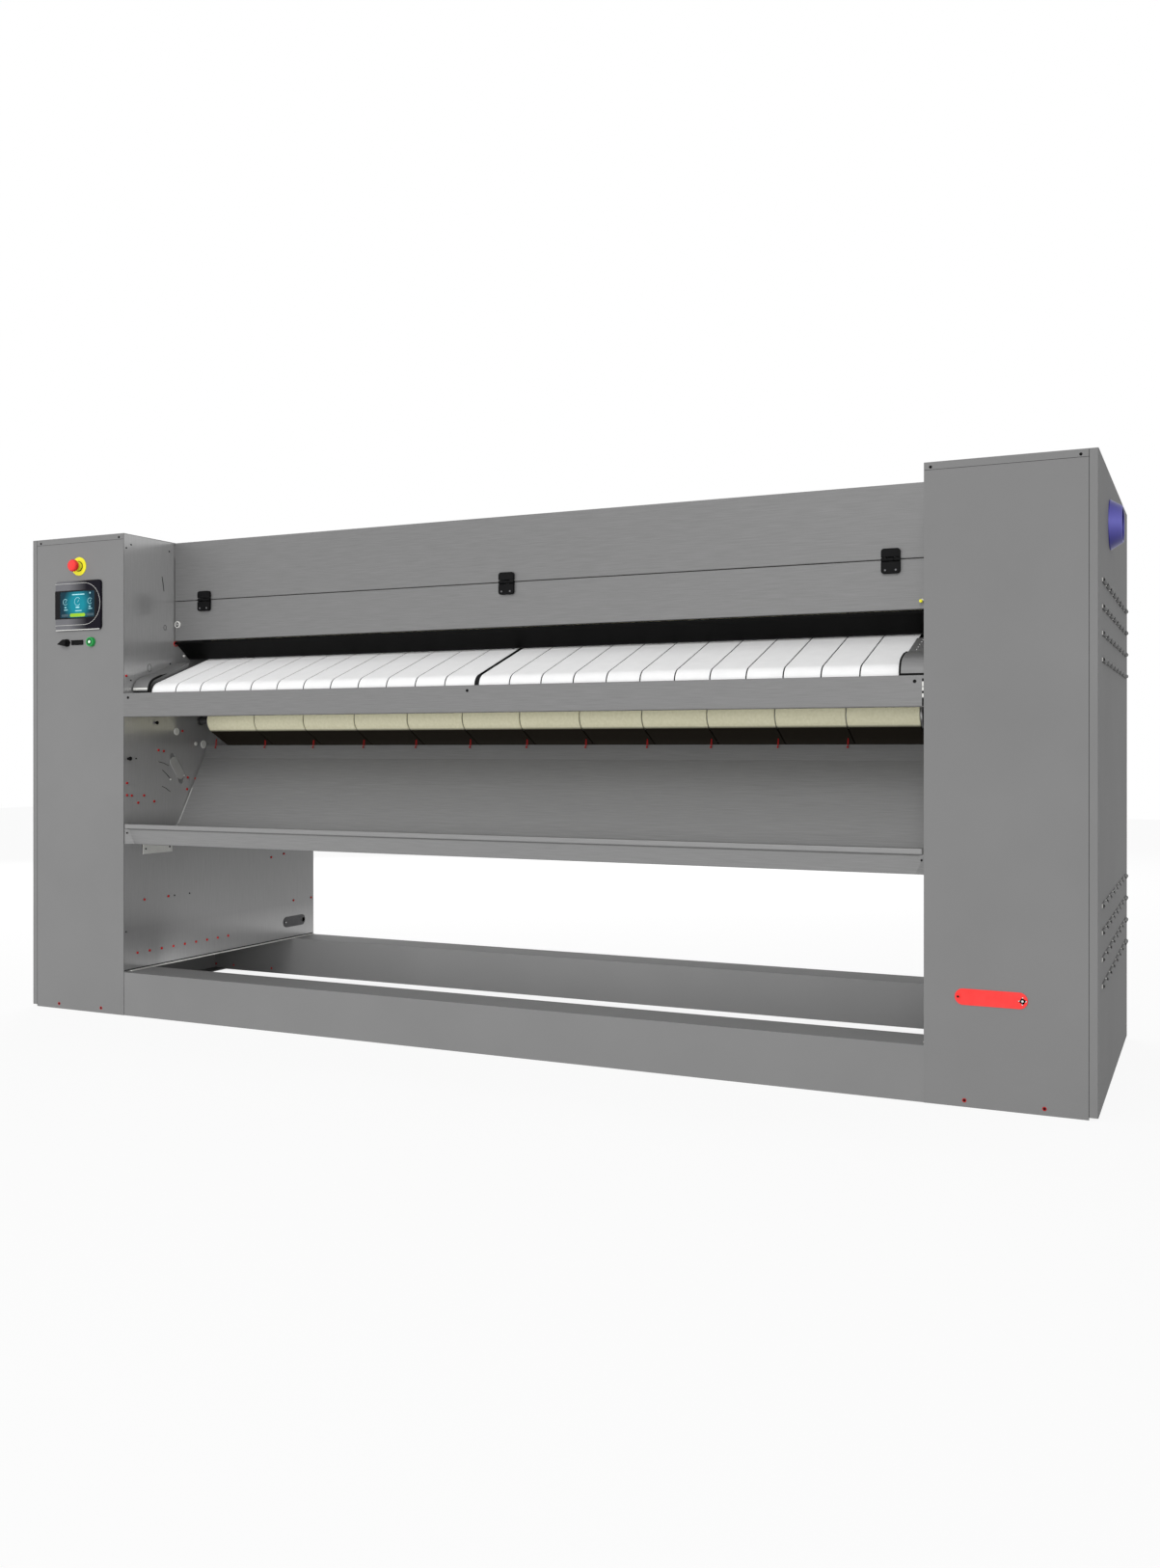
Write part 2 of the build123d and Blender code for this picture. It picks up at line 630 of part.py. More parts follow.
with BuildPart() as end_shrouds:
    folded(
        Plane.YZ.offset((SHROUD_INNER + INNER) / 2),
        [(SHROUD_FRONT, SHROUD_BOTTOM), (SHROUD_FRONT, SHROUD_KNEE_Z), (HOOD_FRONT - 1, SHROUD_TOP_Z)],
        INNER - SHROUD_INNER, SHEET, SHROUD_R, Side.RIGHT,
    )
    with BuildSketch(Plane.YZ.offset(SHROUD_INNER)):
        with BuildLine():
            line = FilletPolyline(
                (SHROUD_FRONT, SHROUD_BOTTOM), (SHROUD_FRONT, SHROUD_KNEE_Z), (HOOD_FRONT - 1, SHROUD_TOP_Z),
                radius=SHROUD_R,
            )
            Polyline(
                line @ 1, (HOOD_FRONT - 1, SHROUD_TOP_Z - 30), (SHROUD_FRONT + 70, SHROUD_BOTTOM), line @ 0
            )
        make_face()
        with Locations((FEED_FRONT[0], FEED_FRONT[1])):
            Rectangle(AXLE, AXLE, mode=Mode.SUBTRACT)
    extrude(amount=SHEET)
    mirror(about=Plane.YZ)

# ---- Ironing section ----

with BuildPart() as cylinder_shell:
    rod_x((-CYLINDER_END, CYLINDER_END), CYLINDER_Y, CYLINDER_Z, CYLINDER_R)
    rod_x((-CYLINDER_END, CYLINDER_END), CYLINDER_Y, CYLINDER_Z, CYLINDER_R - CYLINDER_WALL, Mode.SUBTRACT)

with BuildPart() as cylinder_ends:
    rod_x((CYLINDER_END - END_PLATE, CYLINDER_END), CYLINDER_Y, CYLINDER_Z, CYLINDER_R - CYLINDER_WALL)
    rod_x((CYLINDER_END - END_PLATE, BLOCK_END + 4), CYLINDER_Y, CYLINDER_Z, JOURNAL_R)
    mirror(about=Plane.YZ)
    rod_x((CYLINDER_END, CHAIN_X + CHAIN_WIDE + 6), CYLINDER_Y, CYLINDER_Z, JOURNAL_R)
    rod_x((-YOKE_X, YOKE_X), CYLINDER_Y, CYLINDER_Z, JOURNAL_BORE_R, Mode.SUBTRACT)

with BuildPart() as cylinder_wheel:
    with BuildSketch(Plane.YZ.offset(CHAIN_X)):
        with Locations((CYLINDER_Y, CYLINDER_Z)):
            RegularPolygon(CYLINDER_WHEEL_R, CYLINDER_WHEEL_TEETH)
            Circle(JOURNAL_R, mode=Mode.SUBTRACT)
    extrude(amount=CHAIN_WIDE)

with BuildPart() as heater_bundle:
    block((-YOKE_X, YOKE_X), around(CYLINDER_Y, HEATER_BEAM / 2), around(CYLINDER_Z, HEATER_BEAM / 2))
    with Locations((0, CYLINDER_Y, CYLINDER_Z)):
        with GridLocations(HEATER_END - 20, 1, 3, 1):
            for spoke in range(HEATER_COUNT // 2):
                Box(6, HEATER_STRIP, 2 * HEATER_RING_R, rotation=(spoke * 360 / HEATER_COUNT, 0, 0))
        for spoke in range(HEATER_COUNT):
            with Locations(Location((0, 0, 0), (spoke * 360 / HEATER_COUNT, 0, 0))):
                with Locations((0, 0, HEATER_RING_R)):
                    Box(2 * HEATER_END, HEATER_STRIP, HEATER_STRIP / 3)
    for low, high in ((YOKE_X, YOKE_X + YOKE_WALL), (-YOKE_X - YOKE_WALL, -YOKE_X)):
        block((low, high), around(CYLINDER_Y, YOKE_HALF), around(CYLINDER_Z, YOKE_TALL / 2))
    for side in (-1, 1):
        leg = CYLINDER_Y + side * (YOKE_HALF - YOKE_WALL / 2)
        for x in ((PLATE_BACK, YOKE_X), (-YOKE_X, -PLATE_BACK)):
            block(x, around(leg, YOKE_WALL / 2), around(CYLINDER_Z, YOKE_TALL / 2))

with BuildPart() as cylinder_bearings:
    wide, half = (PLATE_BACK, BLOCK_END), CYLINDER_BLOCK / 2
    block(wide, around(CYLINDER_Y, half), around(CYLINDER_Z, half))
    rod_x(wide, CYLINDER_Y, CYLINDER_Z, JOURNAL_R + TURN_FIT, Mode.SUBTRACT)
    mirror(about=Plane.YZ)

with BuildPart() as roller_axles:
    for y, z, _ in ROLLERS:
        block((-AXLE_END, AXLE_END), around(y, AXLE / 2), around(z, AXLE / 2))

with BuildPart() as nip_roller:
    roller(NIP)

with BuildPart() as front_return_roller:
    roller(FRONT_RETURN)

with BuildPart() as rear_low_roller:
    roller(REAR_LOW)

with BuildPart() as rear_up_roller:
    roller(REAR_UP)

with BuildPart() as top_front_roller:
    roller(TOP_FRONT)

LOOP = [(y, z, radius + BELT_FIT) for y, z, radius in (NIP, FRONT_RETURN, REAR_LOW, REAR_UP, TOP_FRONT)]
LOOP.insert(1, (CYLINDER_Y, CYLINDER_Z, -CYLINDER_R - BELT_FIT - IRONING_BELT))
with BuildPart() as one_ironing_belt:
    belt(LOOP, IRONING_BELT, IRONING_PITCH - BELT_SIDE_GAP)

with BuildPart() as ironing_belts:
    with GridLocations(IRONING_PITCH, 1, BELT_COUNT, 1):
        add(one_ironing_belt.part)

# ---- Collection tray ----

with BuildPart() as collection_tray:
    folded(Plane.YZ, TRAY_LINE, 2 * TRAY_END)

with BuildPart() as tray_brackets:
    block((INNER - BRACKET_WALL, INNER), (BRACKET_FRONT, BRACKET_REAR), (BRACKET_BOTTOM, TRAY_FLOOR))
    block(
        (INNER - BRACKET_SHELF, INNER), (BRACKET_FRONT, BRACKET_REAR), (TRAY_FLOOR - BRACKET_WALL, TRAY_FLOOR)
    )
    mirror(about=Plane.YZ)

# ---- Drive ----

with BuildPart() as gear_motor:
    block((PLATE_BACK, BEAM_END), (MOTOR_FRONT + 30, CYLINDER_Y + 90), (BEAM_HEIGHT, BEAM_HEIGHT + SHELF))
    block(GEARBOX, around(CYLINDER_Y, 80), (BEAM_HEIGHT + SHELF, GEARBOX_TOP))
    rod_y(MOTOR_X, (MOTOR_FRONT, MOTOR_REAR), MOTOR_Z, MOTOR_R)
    block(around(MOTOR_X, 45), (MOTOR_FRONT + 60, MOTOR_REAR - 60), (BEAM_HEIGHT + SHELF, MOTOR_Z))
    block(around(MOTOR_X, 30), around(MOTOR_REAR - 100, 50), (MOTOR_Z, MOTOR_Z + MOTOR_R + 22))
    block(around(MOTOR_X, CRANK / 2), (MOTOR_FRONT - CRANK_LENGTH, MOTOR_FRONT), around(MOTOR_Z, CRANK / 2))

with BuildPart() as motor_wheel:
    with BuildSketch(Plane.YZ.offset(CHAIN_X)):
        with Locations((CYLINDER_Y, MOTOR_Z)):
            RegularPolygon(MOTOR_WHEEL_R, MOTOR_WHEEL_TEETH)
    extrude(amount=CHAIN_WIDE)
    rod_x((CHAIN_X, GEARBOX[0] - BELT_FIT), CYLINDER_Y, MOTOR_Z, MOTOR_SHAFT_R)

with BuildPart() as drive_chain:
    with BuildSketch(Plane.YZ.offset(CHAIN_X + 3)):
        wheels = [
            (CYLINDER_Y, CYLINDER_Z, CYLINDER_WHEEL_R + BELT_FIT),
            (CYLINDER_Y, MOTOR_Z, MOTOR_WHEEL_R + BELT_FIT),
        ]
        with BuildLine():
            closed_run(wheels, -CHAIN)
        make_face()
        with BuildLine():
            closed_run(wheels)
        make_face(mode=Mode.SUBTRACT)
    extrude(amount=CHAIN_WIDE - 6)

# ---- Vapour extraction ----

with BuildPart() as fan_housing:
    block(FAN_X, around(FAN_Y, FAN_HALF), around(FAN_Z, FAN_HALF))
    block((PLATE_BACK, FAN_X[0]), around(FAN_Y, DUCT / 2 + FAN_WALL), around(FAN_Z, DUCT / 2 + FAN_WALL))
    duct = (FAN_Y + FAN_HALF, REAR)
    block(around(FAN_MIDDLE, PIPE_HALF), duct, around(SPIGOT_Z, PIPE_HALF))
    rod_y(FAN_MIDDLE, (REAR, REAR + SPIGOT_OUT), SPIGOT_Z, SPIGOT_R)
    block(
        (FAN_X[0] + FAN_WALL, FAN_X[1] - FAN_WALL), around(FAN_Y, FAN_HALF - FAN_WALL),
        around(FAN_Z, FAN_HALF - FAN_WALL), Mode.SUBTRACT,
    )
    block((PLATE_BACK, FAN_X[0] + FAN_WALL), around(FAN_Y, DUCT / 2), around(FAN_Z, DUCT / 2), Mode.SUBTRACT)
    bore = PIPE_HALF - FAN_WALL
    duct = (FAN_Y + FAN_HALF - FAN_WALL, REAR + FAN_WALL)
    block(around(FAN_MIDDLE, bore), duct, around(SPIGOT_Z, bore), Mode.SUBTRACT)
    rod_y(FAN_MIDDLE, (REAR + FAN_WALL, REAR + SPIGOT_OUT), SPIGOT_Z, SPIGOT_R - FAN_WALL, Mode.SUBTRACT)
    block((FAN_X[1] - 20, FAN_X[1] + 80), around(FAN_Y, FAN_MOTOR / 2), around(FAN_Z, FAN_MOTOR / 2))

with BuildPart() as fan_impeller:
    with BuildSketch(Plane.YZ.offset(FAN_X[0] + 24)):
        with Locations((FAN_Y, FAN_Z)):
            RegularPolygon(IMPELLER_R, IMPELLER_BLADES)
    extrude(amount=FAN_X[1] - FAN_X[0] - 44 - BELT_FIT)
    rod_x((FAN_X[0] + 12, FAN_X[0] + 24), FAN_Y, FAN_Z, HUB_R)

with BuildPart() as fan_cowl:
    flat = math.cos(math.pi / COWL_SIDES)
    lean = math.degrees(math.atan((COWL_R - COWL_TIP_R) * flat / COWL_OUT))
    for wall, mode in ((0, Mode.ADD), (COWL_WALL, Mode.SUBTRACT)):
        with BuildSketch(Plane.YZ.offset(SIDE)) as section:
            with Locations((COWL_Y, COWL_Z)):
                RegularPolygon(COWL_R - wall, COWL_SIDES)
        extrude(section.sketch, amount=COWL_OUT, taper=lean, mode=mode)
    block((SIDE, SIDE + COWL_WALL), around(COWL_Y, COWL_R - COWL_WALL / 2), around(COWL_Z, 4))

# ---- Controls ----

with BuildPart() as touch_panel:
    with BuildSketch(Plane.XZ.offset(-FRONT)):
        with Locations(((TOUCH_X[0] + TOUCH_X[1]) / 2, (TOUCH_Z[0] + TOUCH_Z[1]) / 2)):
            RectangleRounded(TOUCH_X[1] - TOUCH_X[0], TOUCH_Z[1] - TOUCH_Z[0], TOUCH_CORNER)
    extrude(amount=TOUCH_OUT)
    chamfer(faces().sort_by(Axis.Y)[0].outer_wire().edges(), 2)
    low, high = touch_box()
    block((low[0], high[0]), (FRONT, FRONT + TOUCH_DEEP), (low[1], high[1]))
    block(SCREEN_X, (FRONT - TOUCH_OUT, FRONT - TOUCH_OUT + 4), SCREEN_Z, Mode.SUBTRACT)

with BuildPart() as touch_glass:
    block(SCREEN_X, (FRONT - TOUCH_OUT + 1, FRONT - TOUCH_OUT + 4), SCREEN_Z)

with BuildPart() as stop_plate:
    rod_y(STOP_X, (FRONT - SHEET, FRONT), STOP_Z, STOP_PLATE_R)

with BuildPart() as button_collars:
    rod_y(STOP_X, (FRONT - SHEET - COLLAR_OUT, FRONT - SHEET), STOP_Z, COLLAR_R)
    rod_y(STOP_X, (FRONT - SHEET - COLLAR_OUT, FRONT - SHEET), STOP_Z, STEM_R + TURN_FIT, Mode.SUBTRACT)
    rod_y(START_X, (FRONT - COLLAR_OUT, FRONT), START_Z, START_RING_R)
    rod_y(START_X, (FRONT - COLLAR_OUT, FRONT), START_Z, START_R + TURN_FIT, Mode.SUBTRACT)

with BuildPart() as stop_button:
    head_back = FRONT - SHEET - COLLAR_OUT - STOP_TRAVEL - 1
    rod_y(STOP_X, (head_back - STOP_HEAD, head_back), STOP_Z, STOP_HEAD_R)
    rod_y(STOP_X, (head_back, FRONT - SHEET - STOP_TRAVEL - 1), STOP_Z, STEM_R)

with BuildPart() as start_button:
    rod_y(START_X, (FRONT - COLLAR_OUT - 1, FRONT - START_TRAVEL - 1), START_Z, START_R)

with BuildPart() as selector_knob:
    rod_y(SELECT_X, (FRONT - 8, FRONT), SELECT_Z, SELECT_R)
    with Locations(Location((SELECT_X, FRONT - 14, SELECT_Z), (0, 45, 0))):
        Box(30, 12, 9)

with BuildPart() as usb_cap:
    block(USB_X, (FRONT - USB_CAP, FRONT), USB_Z)
    rod_x(USB_X, FRONT - USB_CAP, USB_Z[1], USB_PIN_R)

# ---- Swinging covers ----

with BuildPart() as crank_cover:
    with BuildSketch(Plane.XZ.offset(-FRONT)):
        with Locations((COVER_X, COVER_Z)):
            SlotOverall(COVER_LONG, COVER_TALL)
    extrude(amount=SHEET)
    rod_y(COVER_X - COVER_PIVOT, (FRONT - SHEET - PIVOT_OUT, FRONT - SHEET), COVER_Z, PIVOT_R)

with BuildPart() as wall_cover:
    with BuildSketch(Plane.YZ.offset(-INNER)):
        with Locations((WALL_COVER_Y, WALL_COVER_Z)):
            SlotOverall(WALL_COVER_LONG, COVER_TALL)
    extrude(amount=SHEET)
    head = (-INNER + SHEET, -INNER + SHEET + PIVOT_OUT)
    rod_x(head, WALL_COVER_Y - WALL_COVER_PIVOT, WALL_COVER_Z, PIVOT_R)

# ---- Switchgear and supply entry ----

with BuildPart() as switchgear:
    face = PLATE_BACK + GEAR_STAND
    block(mirrored((face, face + 3)), GEAR_Y, GEAR_Z)
    for y in (GEAR_Y[0] + 20, GEAR_Y[1] - 20):
        for z in (GEAR_Z[0] + 20, GEAR_Z[1] - 20):
            block(mirrored((PLATE_BACK, face)), around(y, 8), around(z, 8))
    for row, height in ((0.25, 90), (0.72, 120)):
        middle = GEAR_Z[0] + row * (GEAR_Z[1] - GEAR_Z[0])
        for place in range(5):
            y = GEAR_Y[0] + (place + 0.5) * (GEAR_Y[1] - GEAR_Y[0]) / 5
            block(mirrored((face + 3, face + 3 + 70 + 15 * place)), around(y, 45), around(middle, height / 2))

with BuildPart() as cable_gland:
    with BuildSketch(Plane.XZ.offset(-REAR)):
        with Locations((GLAND_X, GLAND_Z)):
            RegularPolygon(GLAND_R, 6)
    extrude(amount=-GLAND_OUT / 2)
    with BuildSketch(Plane.XZ.offset(-REAR - GLAND_OUT / 2)):
        with Locations((GLAND_X, GLAND_Z)):
            RegularPolygon(GLAND_R - 5, 12)
    extrude(amount=-GLAND_OUT / 2)

with BuildPart() as main_switch:
    rod_y(SWITCH_X, (REAR, REAR + 12), SWITCH_Z, SWITCH_R - 4)
    block(around(SWITCH_X, 7), (REAR + 12, REAR + 34), around(SWITCH_Z, SWITCH_R))

pieces = {
    "front_beam": front_beam, "rear_beam": rear_beam, "side_beams": side_beams,
    "tower_frames": tower_frames, "bearing_plates": bearing_plates,
    "left_inner_wall": left_inner_wall, "right_inner_wall": right_inner_wall,
    "left_front_panel": left_front_panel, "right_front_panel": right_front_panel,
    "left_side_panel": left_side_panel, "right_side_panel": right_side_panel,
    "top_covers": top_covers, "rear_panels": rear_panels, "hood_upper_panel": hood_upper_panel,
    "rear_cover": rear_cover, "hood_rails": hood_rails, "hood_flap": hood_flap,
    "hinge_upper_leaves": hinge_upper_leaves, "hinge_lower_leaves": hinge_lower_leaves,
    "flap_lock": flap_lock, "finger_guard": finger_guard, "front_crossbar": front_crossbar,
    "feed_front_roller": feed_front_roller, "feed_rear_roller": feed_rear_roller,
    "feed_belts": feed_belts, "feed_table": feed_table, "end_shrouds": end_shrouds,
    "cylinder_shell": cylinder_shell, "cylinder_ends": cylinder_ends,
    "cylinder_wheel": cylinder_wheel, "heater_bundle": heater_bundle,
    "cylinder_bearings": cylinder_bearings, "roller_axles": roller_axles, "nip_roller": nip_roller,
    "front_return_roller": front_return_roller, "rear_low_roller": rear_low_roller,
    "rear_up_roller": rear_up_roller, "top_front_roller": top_front_roller,
    "ironing_belts": ironing_belts, "collection_tray": collection_tray,
    "tray_brackets": tray_brackets, "gear_motor": gear_motor, "motor_wheel": motor_wheel,
    "drive_chain": drive_chain, "fan_housing": fan_housing, "fan_impeller": fan_impeller,
    "fan_cowl": fan_cowl, "touch_panel": touch_panel, "touch_glass": touch_glass,
    "stop_plate": stop_plate, "button_collars": button_collars, "stop_button": stop_button,
    "start_button": start_button, "selector_knob": selector_knob, "usb_cap": usb_cap,
    "crank_cover": crank_cover, "wall_cover": wall_cover, "switchgear": switchgear,
    "cable_gland": cable_gland, "main_switch": main_switch,
}
os.makedirs("parts", exist_ok=True)
for name, piece in pieces.items():
    piece.part.label = name
    export_step(piece.part, f"parts/{name}.step")
    print(name, len(piece.part.solids()), "solids")
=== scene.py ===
# %% [markdown]
# # Flatwork ironer
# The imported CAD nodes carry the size, the bodies and the joints. These cells give every node its finish and
# add what the CAD leaves out: smooth belts, screws, louvre bridges, wire fingers, springs, seals and marks.
# Lengths are written in millimetres and turned into metres by one helper, so they read like a drawing.

import json
import math

import bmesh
import bpy
from mathutils import Matrix, Vector


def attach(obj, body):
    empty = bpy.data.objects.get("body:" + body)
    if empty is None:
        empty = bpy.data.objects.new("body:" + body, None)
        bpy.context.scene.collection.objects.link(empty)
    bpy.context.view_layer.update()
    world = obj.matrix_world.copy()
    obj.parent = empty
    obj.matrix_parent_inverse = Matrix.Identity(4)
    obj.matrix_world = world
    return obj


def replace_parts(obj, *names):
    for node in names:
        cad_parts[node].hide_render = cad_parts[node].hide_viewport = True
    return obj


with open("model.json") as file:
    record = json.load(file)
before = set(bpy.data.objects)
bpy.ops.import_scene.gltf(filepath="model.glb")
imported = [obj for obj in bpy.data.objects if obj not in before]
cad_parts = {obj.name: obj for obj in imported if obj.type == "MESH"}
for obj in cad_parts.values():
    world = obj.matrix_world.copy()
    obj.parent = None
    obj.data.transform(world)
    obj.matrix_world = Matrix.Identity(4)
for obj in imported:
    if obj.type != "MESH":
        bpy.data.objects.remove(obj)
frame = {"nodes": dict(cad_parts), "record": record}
nodes = frame["nodes"]
slot_of = {sub["node"]: sub["material_slot"] for sub in frame["record"]["subparts"]}
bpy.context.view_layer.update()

# %% [markdown]
# Points are given as on the drawing: along the machine, behind its front face, above the floor. A piece is
# built in a bmesh, gets one finish and one body, and small bevels where real edges are broken.

# %% Points and pieces
MIDDLE = 507.5  # from the front face to the frame's zero
HALF = 1668  # half the machine's width
INNER = 1271  # from the middle to each inner wall
SIDES = ((-1, "left"), (1, "right"))
TO_FRONT, TO_BACK, TO_RIGHT, TO_LEFT = (0, -1, 0), (0, 1, 0), (1, 0, 0), (-1, 0, 0)
finishes = {}


def spot(x, depth, height):
    """A point from millimetres along the machine, behind its front and above the floor."""
    return Vector((x / 1000, (depth - MIDDLE) / 1000, height / 1000))


def placed(name, data):
    """An object that shows a mesh, a lamp or a camera, linked into the scene."""
    obj = bpy.data.objects.new(name, data)
    bpy.context.scene.collection.objects.link(obj)
    return obj


def piece(name, bm, slot, body="root", finish=None, bevel=0.0, smooth=30):
    """Turns a bmesh into a named piece that rides on a body and takes its finish from a slot."""
    bmesh.ops.recalc_face_normals(bm, faces=bm.faces)
    mesh = bpy.data.meshes.new(name)
    bm.to_mesh(mesh)
    bm.free()
    obj = placed(name, mesh)
    for polygon in mesh.polygons:
        polygon.use_smooth = True
    mesh.set_sharp_from_angle(angle=math.radians(smooth))
    if bevel:
        edges = obj.modifiers.new("edges", "BEVEL")
        edges.width = bevel / 1000
        edges.segments = 2
        edges.limit_method = "ANGLE"
        edges.harden_normals = True
    mesh.materials.append(finishes[finish or slot])
    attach(obj, body)
    print(name, "has", len(mesh.polygons), "faces")
    return obj


# %% [markdown]
# Three ways of making solids cover most fittings: an outline given a thickness, a profile spun round an
# axis, and a section carried along a path. Screws and rivets are one solid copied to many places.

# %% Solids from outlines
ACROSS = {
    "x": lambda depth, height, x: spot(x, depth, height),
    "y": lambda x, height, depth: spot(x, depth, height),
    "z": spot,
}


def skinned(bm, rings, closed=False):
    """Faces between rings of equally many points, one after the other."""
    for first, second in zip(rings, rings[1:] + (rings[:1] if closed else [])):
        for n in range(len(first)):
            after = (n + 1) % len(first)
            bm.faces.new((first[n], first[after], second[after], second[n]))


def plate(bm, outline, axis, start, end):
    """A plate across an axis, from an outline of pairs along the two others."""
    near, far = ([bm.verts.new(ACROSS[axis](u, v, at)) for u, v in outline] for at in (start, end))
    bm.faces.new(near)
    bm.faces.new(far[::-1])
    skinned(bm, [near, far])


def box(bm, low_corner, high_corner):
    """A rectangular bar between two opposite corners."""
    (x0, y0, z0), (x1, y1, z1) = low_corner, high_corner
    plate(bm, [(x0, z0), (x1, z0), (x1, z1), (x0, z1)], "y", y0, y1)


def side_bar(bm, side, across, depths, heights):
    """A bar left (-1) or right (1) of the middle, from its three spans."""
    left, right = sorted(side * x for x in across)
    box(bm, (left, depths[0], heights[0]), (right, depths[1], heights[1]))


def arc(u, v, radius, start, step, count):
    """Points round a centre, from a start angle in equal steps, in degrees."""
    angles = [math.radians(start + step * n) for n in range(count)]
    return [(u + radius * math.cos(a), v + radius * math.sin(a)) for a in angles]


def rounded(width, height, radius):
    """Outline of a rectangle with round corners about zero."""
    outline = []
    for corner, (sx, sy) in enumerate(((1, 1), (-1, 1), (-1, -1), (1, -1))):
        outline += arc(sx * (width / 2 - radius), sy * (height / 2 - radius), radius, 90 * corner, 15, 7)
    return outline


def moved(outline, u, v, turn=0.0):
    """An outline turned about zero and then moved."""
    c, s = math.cos(turn), math.sin(turn)
    return [(u + a * c - b * s, v + a * s + b * c) for a, b in outline]


def cut(name, outline, axis, start, end, slot, **look):
    """A piece that is one plate; body, finish, bevel and smooth go on to piece."""
    bm = bmesh.new()
    plate(bm, outline, axis, start, end)
    return piece(name, bm, slot, **look)


# %% Solids of revolution, swept sections and copies
def circle(side, other, sides):
    """Unit vectors once round a circle in the plane of two directions."""
    angles = [2 * math.pi * k / sides for k in range(sides)]
    return [side * math.cos(a) + other * math.sin(a) for a in angles]


def turned(bm, profile, at, towards, steps=24):
    """Spins (radius, distance) pairs in millimetres round an axis from a point; ends at zero are closed."""
    out = Vector(towards).normalized()
    side = out.orthogonal().normalized()
    other = out.cross(side)
    rings = []
    for radius, along in profile:
        centre = at + out * along / 1000
        if radius == 0:
            rings.append([bm.verts.new(centre)])
            continue
        rings.append([bm.verts.new(centre + ray * radius / 1000) for ray in circle(side, other, steps)])
    for first, second in zip(rings, rings[1:]):
        for k in range(steps):
            corners = [first[k % len(first)], first[(k + 1) % len(first)],
                       second[(k + 1) % len(second)], second[k % len(second)]]
            kept = [c for n, c in enumerate(corners) if c not in corners[:n]]
            if len(kept) > 2:
                bm.faces.new(kept)


def spun(name, profile, at, towards, slot, steps=24, **look):
    """A piece that is one spun profile."""
    bm = bmesh.new()
    turned(bm, profile, at, towards, steps)
    return piece(name, bm, slot, **look)


def barrel(bm, x0, x1, depth, height, radius):
    """A round bar along the machine."""
    turned(bm, [(0, 0), (radius, 0), (radius, x1 - x0), (0, x1 - x0)], spot(x0, depth, height), TO_RIGHT)


def swept(bm, path, radius, sides=6, closed=False):
    """A round bar of a radius in millimetres along a path of points."""
    rings = []
    side = None
    for k, point in enumerate(path):
        before = path[k - 1] if k or closed else point
        after = path[(k + 1) % len(path)] if k < len(path) - 1 or closed else point
        along = (after - before).normalized()
        side = (along.orthogonal() if side is None else side - side.project(along)).normalized()
        rays = circle(side, along.cross(side), sides)
        rings.append([bm.verts.new(point + ray * radius / 1000) for ray in rays])
    skinned(bm, rings, closed)
    if not closed:
        bm.faces.new(rings[0])
        bm.faces.new(rings[-1][::-1])


def wire(name, path, radius, slot, sides=6, **look):
    """A piece that is one swept bar."""
    bm = bmesh.new()
    swept(bm, path, radius, sides)
    return piece(name, bm, slot, **look)


def screws(name, places, towards, slot, radius=4.0, body="root", finish=None, rise=1.6, socket=True):
    """Button-head screws at many places, all facing one way, with a round socket, or a domed top where socket
    is off.
    """
    bm = bmesh.new()
    profile = [(radius, 0), (radius, rise * 0.35), (radius * 0.86, rise * 0.8), (radius * 0.55, rise)]
    if socket:
        profile += [(radius * 0.42, rise), (radius * 0.42, rise * 0.35), (0, rise * 0.3)]
    else:
        profile += [(0, rise * 1.08)]
    for place in places:
        turned(bm, profile, place, towards, steps=12)
    return piece(name, bm, slot, body, finish, smooth=50)


# %% [markdown]
# ## Finishes
# Every finish is a small node tree: a measured base colour, a slow drift of tone, and a height texture of the
# real grain. Coordinates are the object's own, so nothing slides when a body moves, and no shape has to be
# unwrapped for a picture.

# %% Node helpers
def supply(tree, node, inputs):
    """Gives a node's inputs their values; another node's output is linked."""
    for name, value in inputs.items():
        if isinstance(value, bpy.types.NodeSocket):
            tree.links.new(value, node.inputs[name])
        else:
            node.inputs[name].default_value = value


def added(tree, kind, inputs):
    """A new shader node with its inputs."""
    node = tree.nodes.new("ShaderNode" + kind)
    supply(tree, node, inputs)
    return node


def new_finish(name, rough, metallic=0.0, specular=0.5):
    """A material with its Principled shader, ready for a colour and a height."""
    mat = bpy.data.materials.new(name)
    mat.use_nodes = True
    shader = mat.node_tree.nodes["Principled BSDF"]
    supply(mat.node_tree, shader, {"Roughness": rough, "Metallic": metallic, "Specular IOR Level": specular})
    finishes[name] = mat
    print("finish", name)
    return mat.node_tree, shader


def own_space(tree, kind="Object"):
    """The object's own coordinates, or its normal."""
    return added(tree, "TexCoord", {}).outputs[kind]


def own_axis(tree, axis, kind="Object"):
    """One axis of those."""
    return added(tree, "SeparateXYZ", {"Vector": own_space(tree, kind)}).outputs[axis]


def noise(tree, scale, detail=3.0, stretch=(1, 1, 1)):
    """Noise on the object's own coordinates, stretched along the axes."""
    mapping = added(tree, "Mapping", {"Scale": stretch, "Vector": own_space(tree)})
    inputs = {"Scale": scale, "Detail": detail, "Vector": mapping.outputs["Vector"]}
    return added(tree, "TexNoise", inputs).outputs["Fac"]


def between(tree, value, low, high):
    """Zero at one value and one at another, and held beyond them."""
    return added(tree, "MapRange", {"From Min": low, "From Max": high, "Value": value}).outputs["Result"]


# %% Colour helpers
def grey(value):
    """A neutral display colour."""
    return (value, value, value)


def shifted(colour, change):
    """A display colour made lighter or darker."""
    return tuple(max(c + change, 0) for c in colour)


def linear(value):
    """A display value from 0 to 255 as linear light."""
    v = value / 255
    return v / 12.92 if v <= 0.04045 else ((v + 0.055) / 1.055) ** 2.4


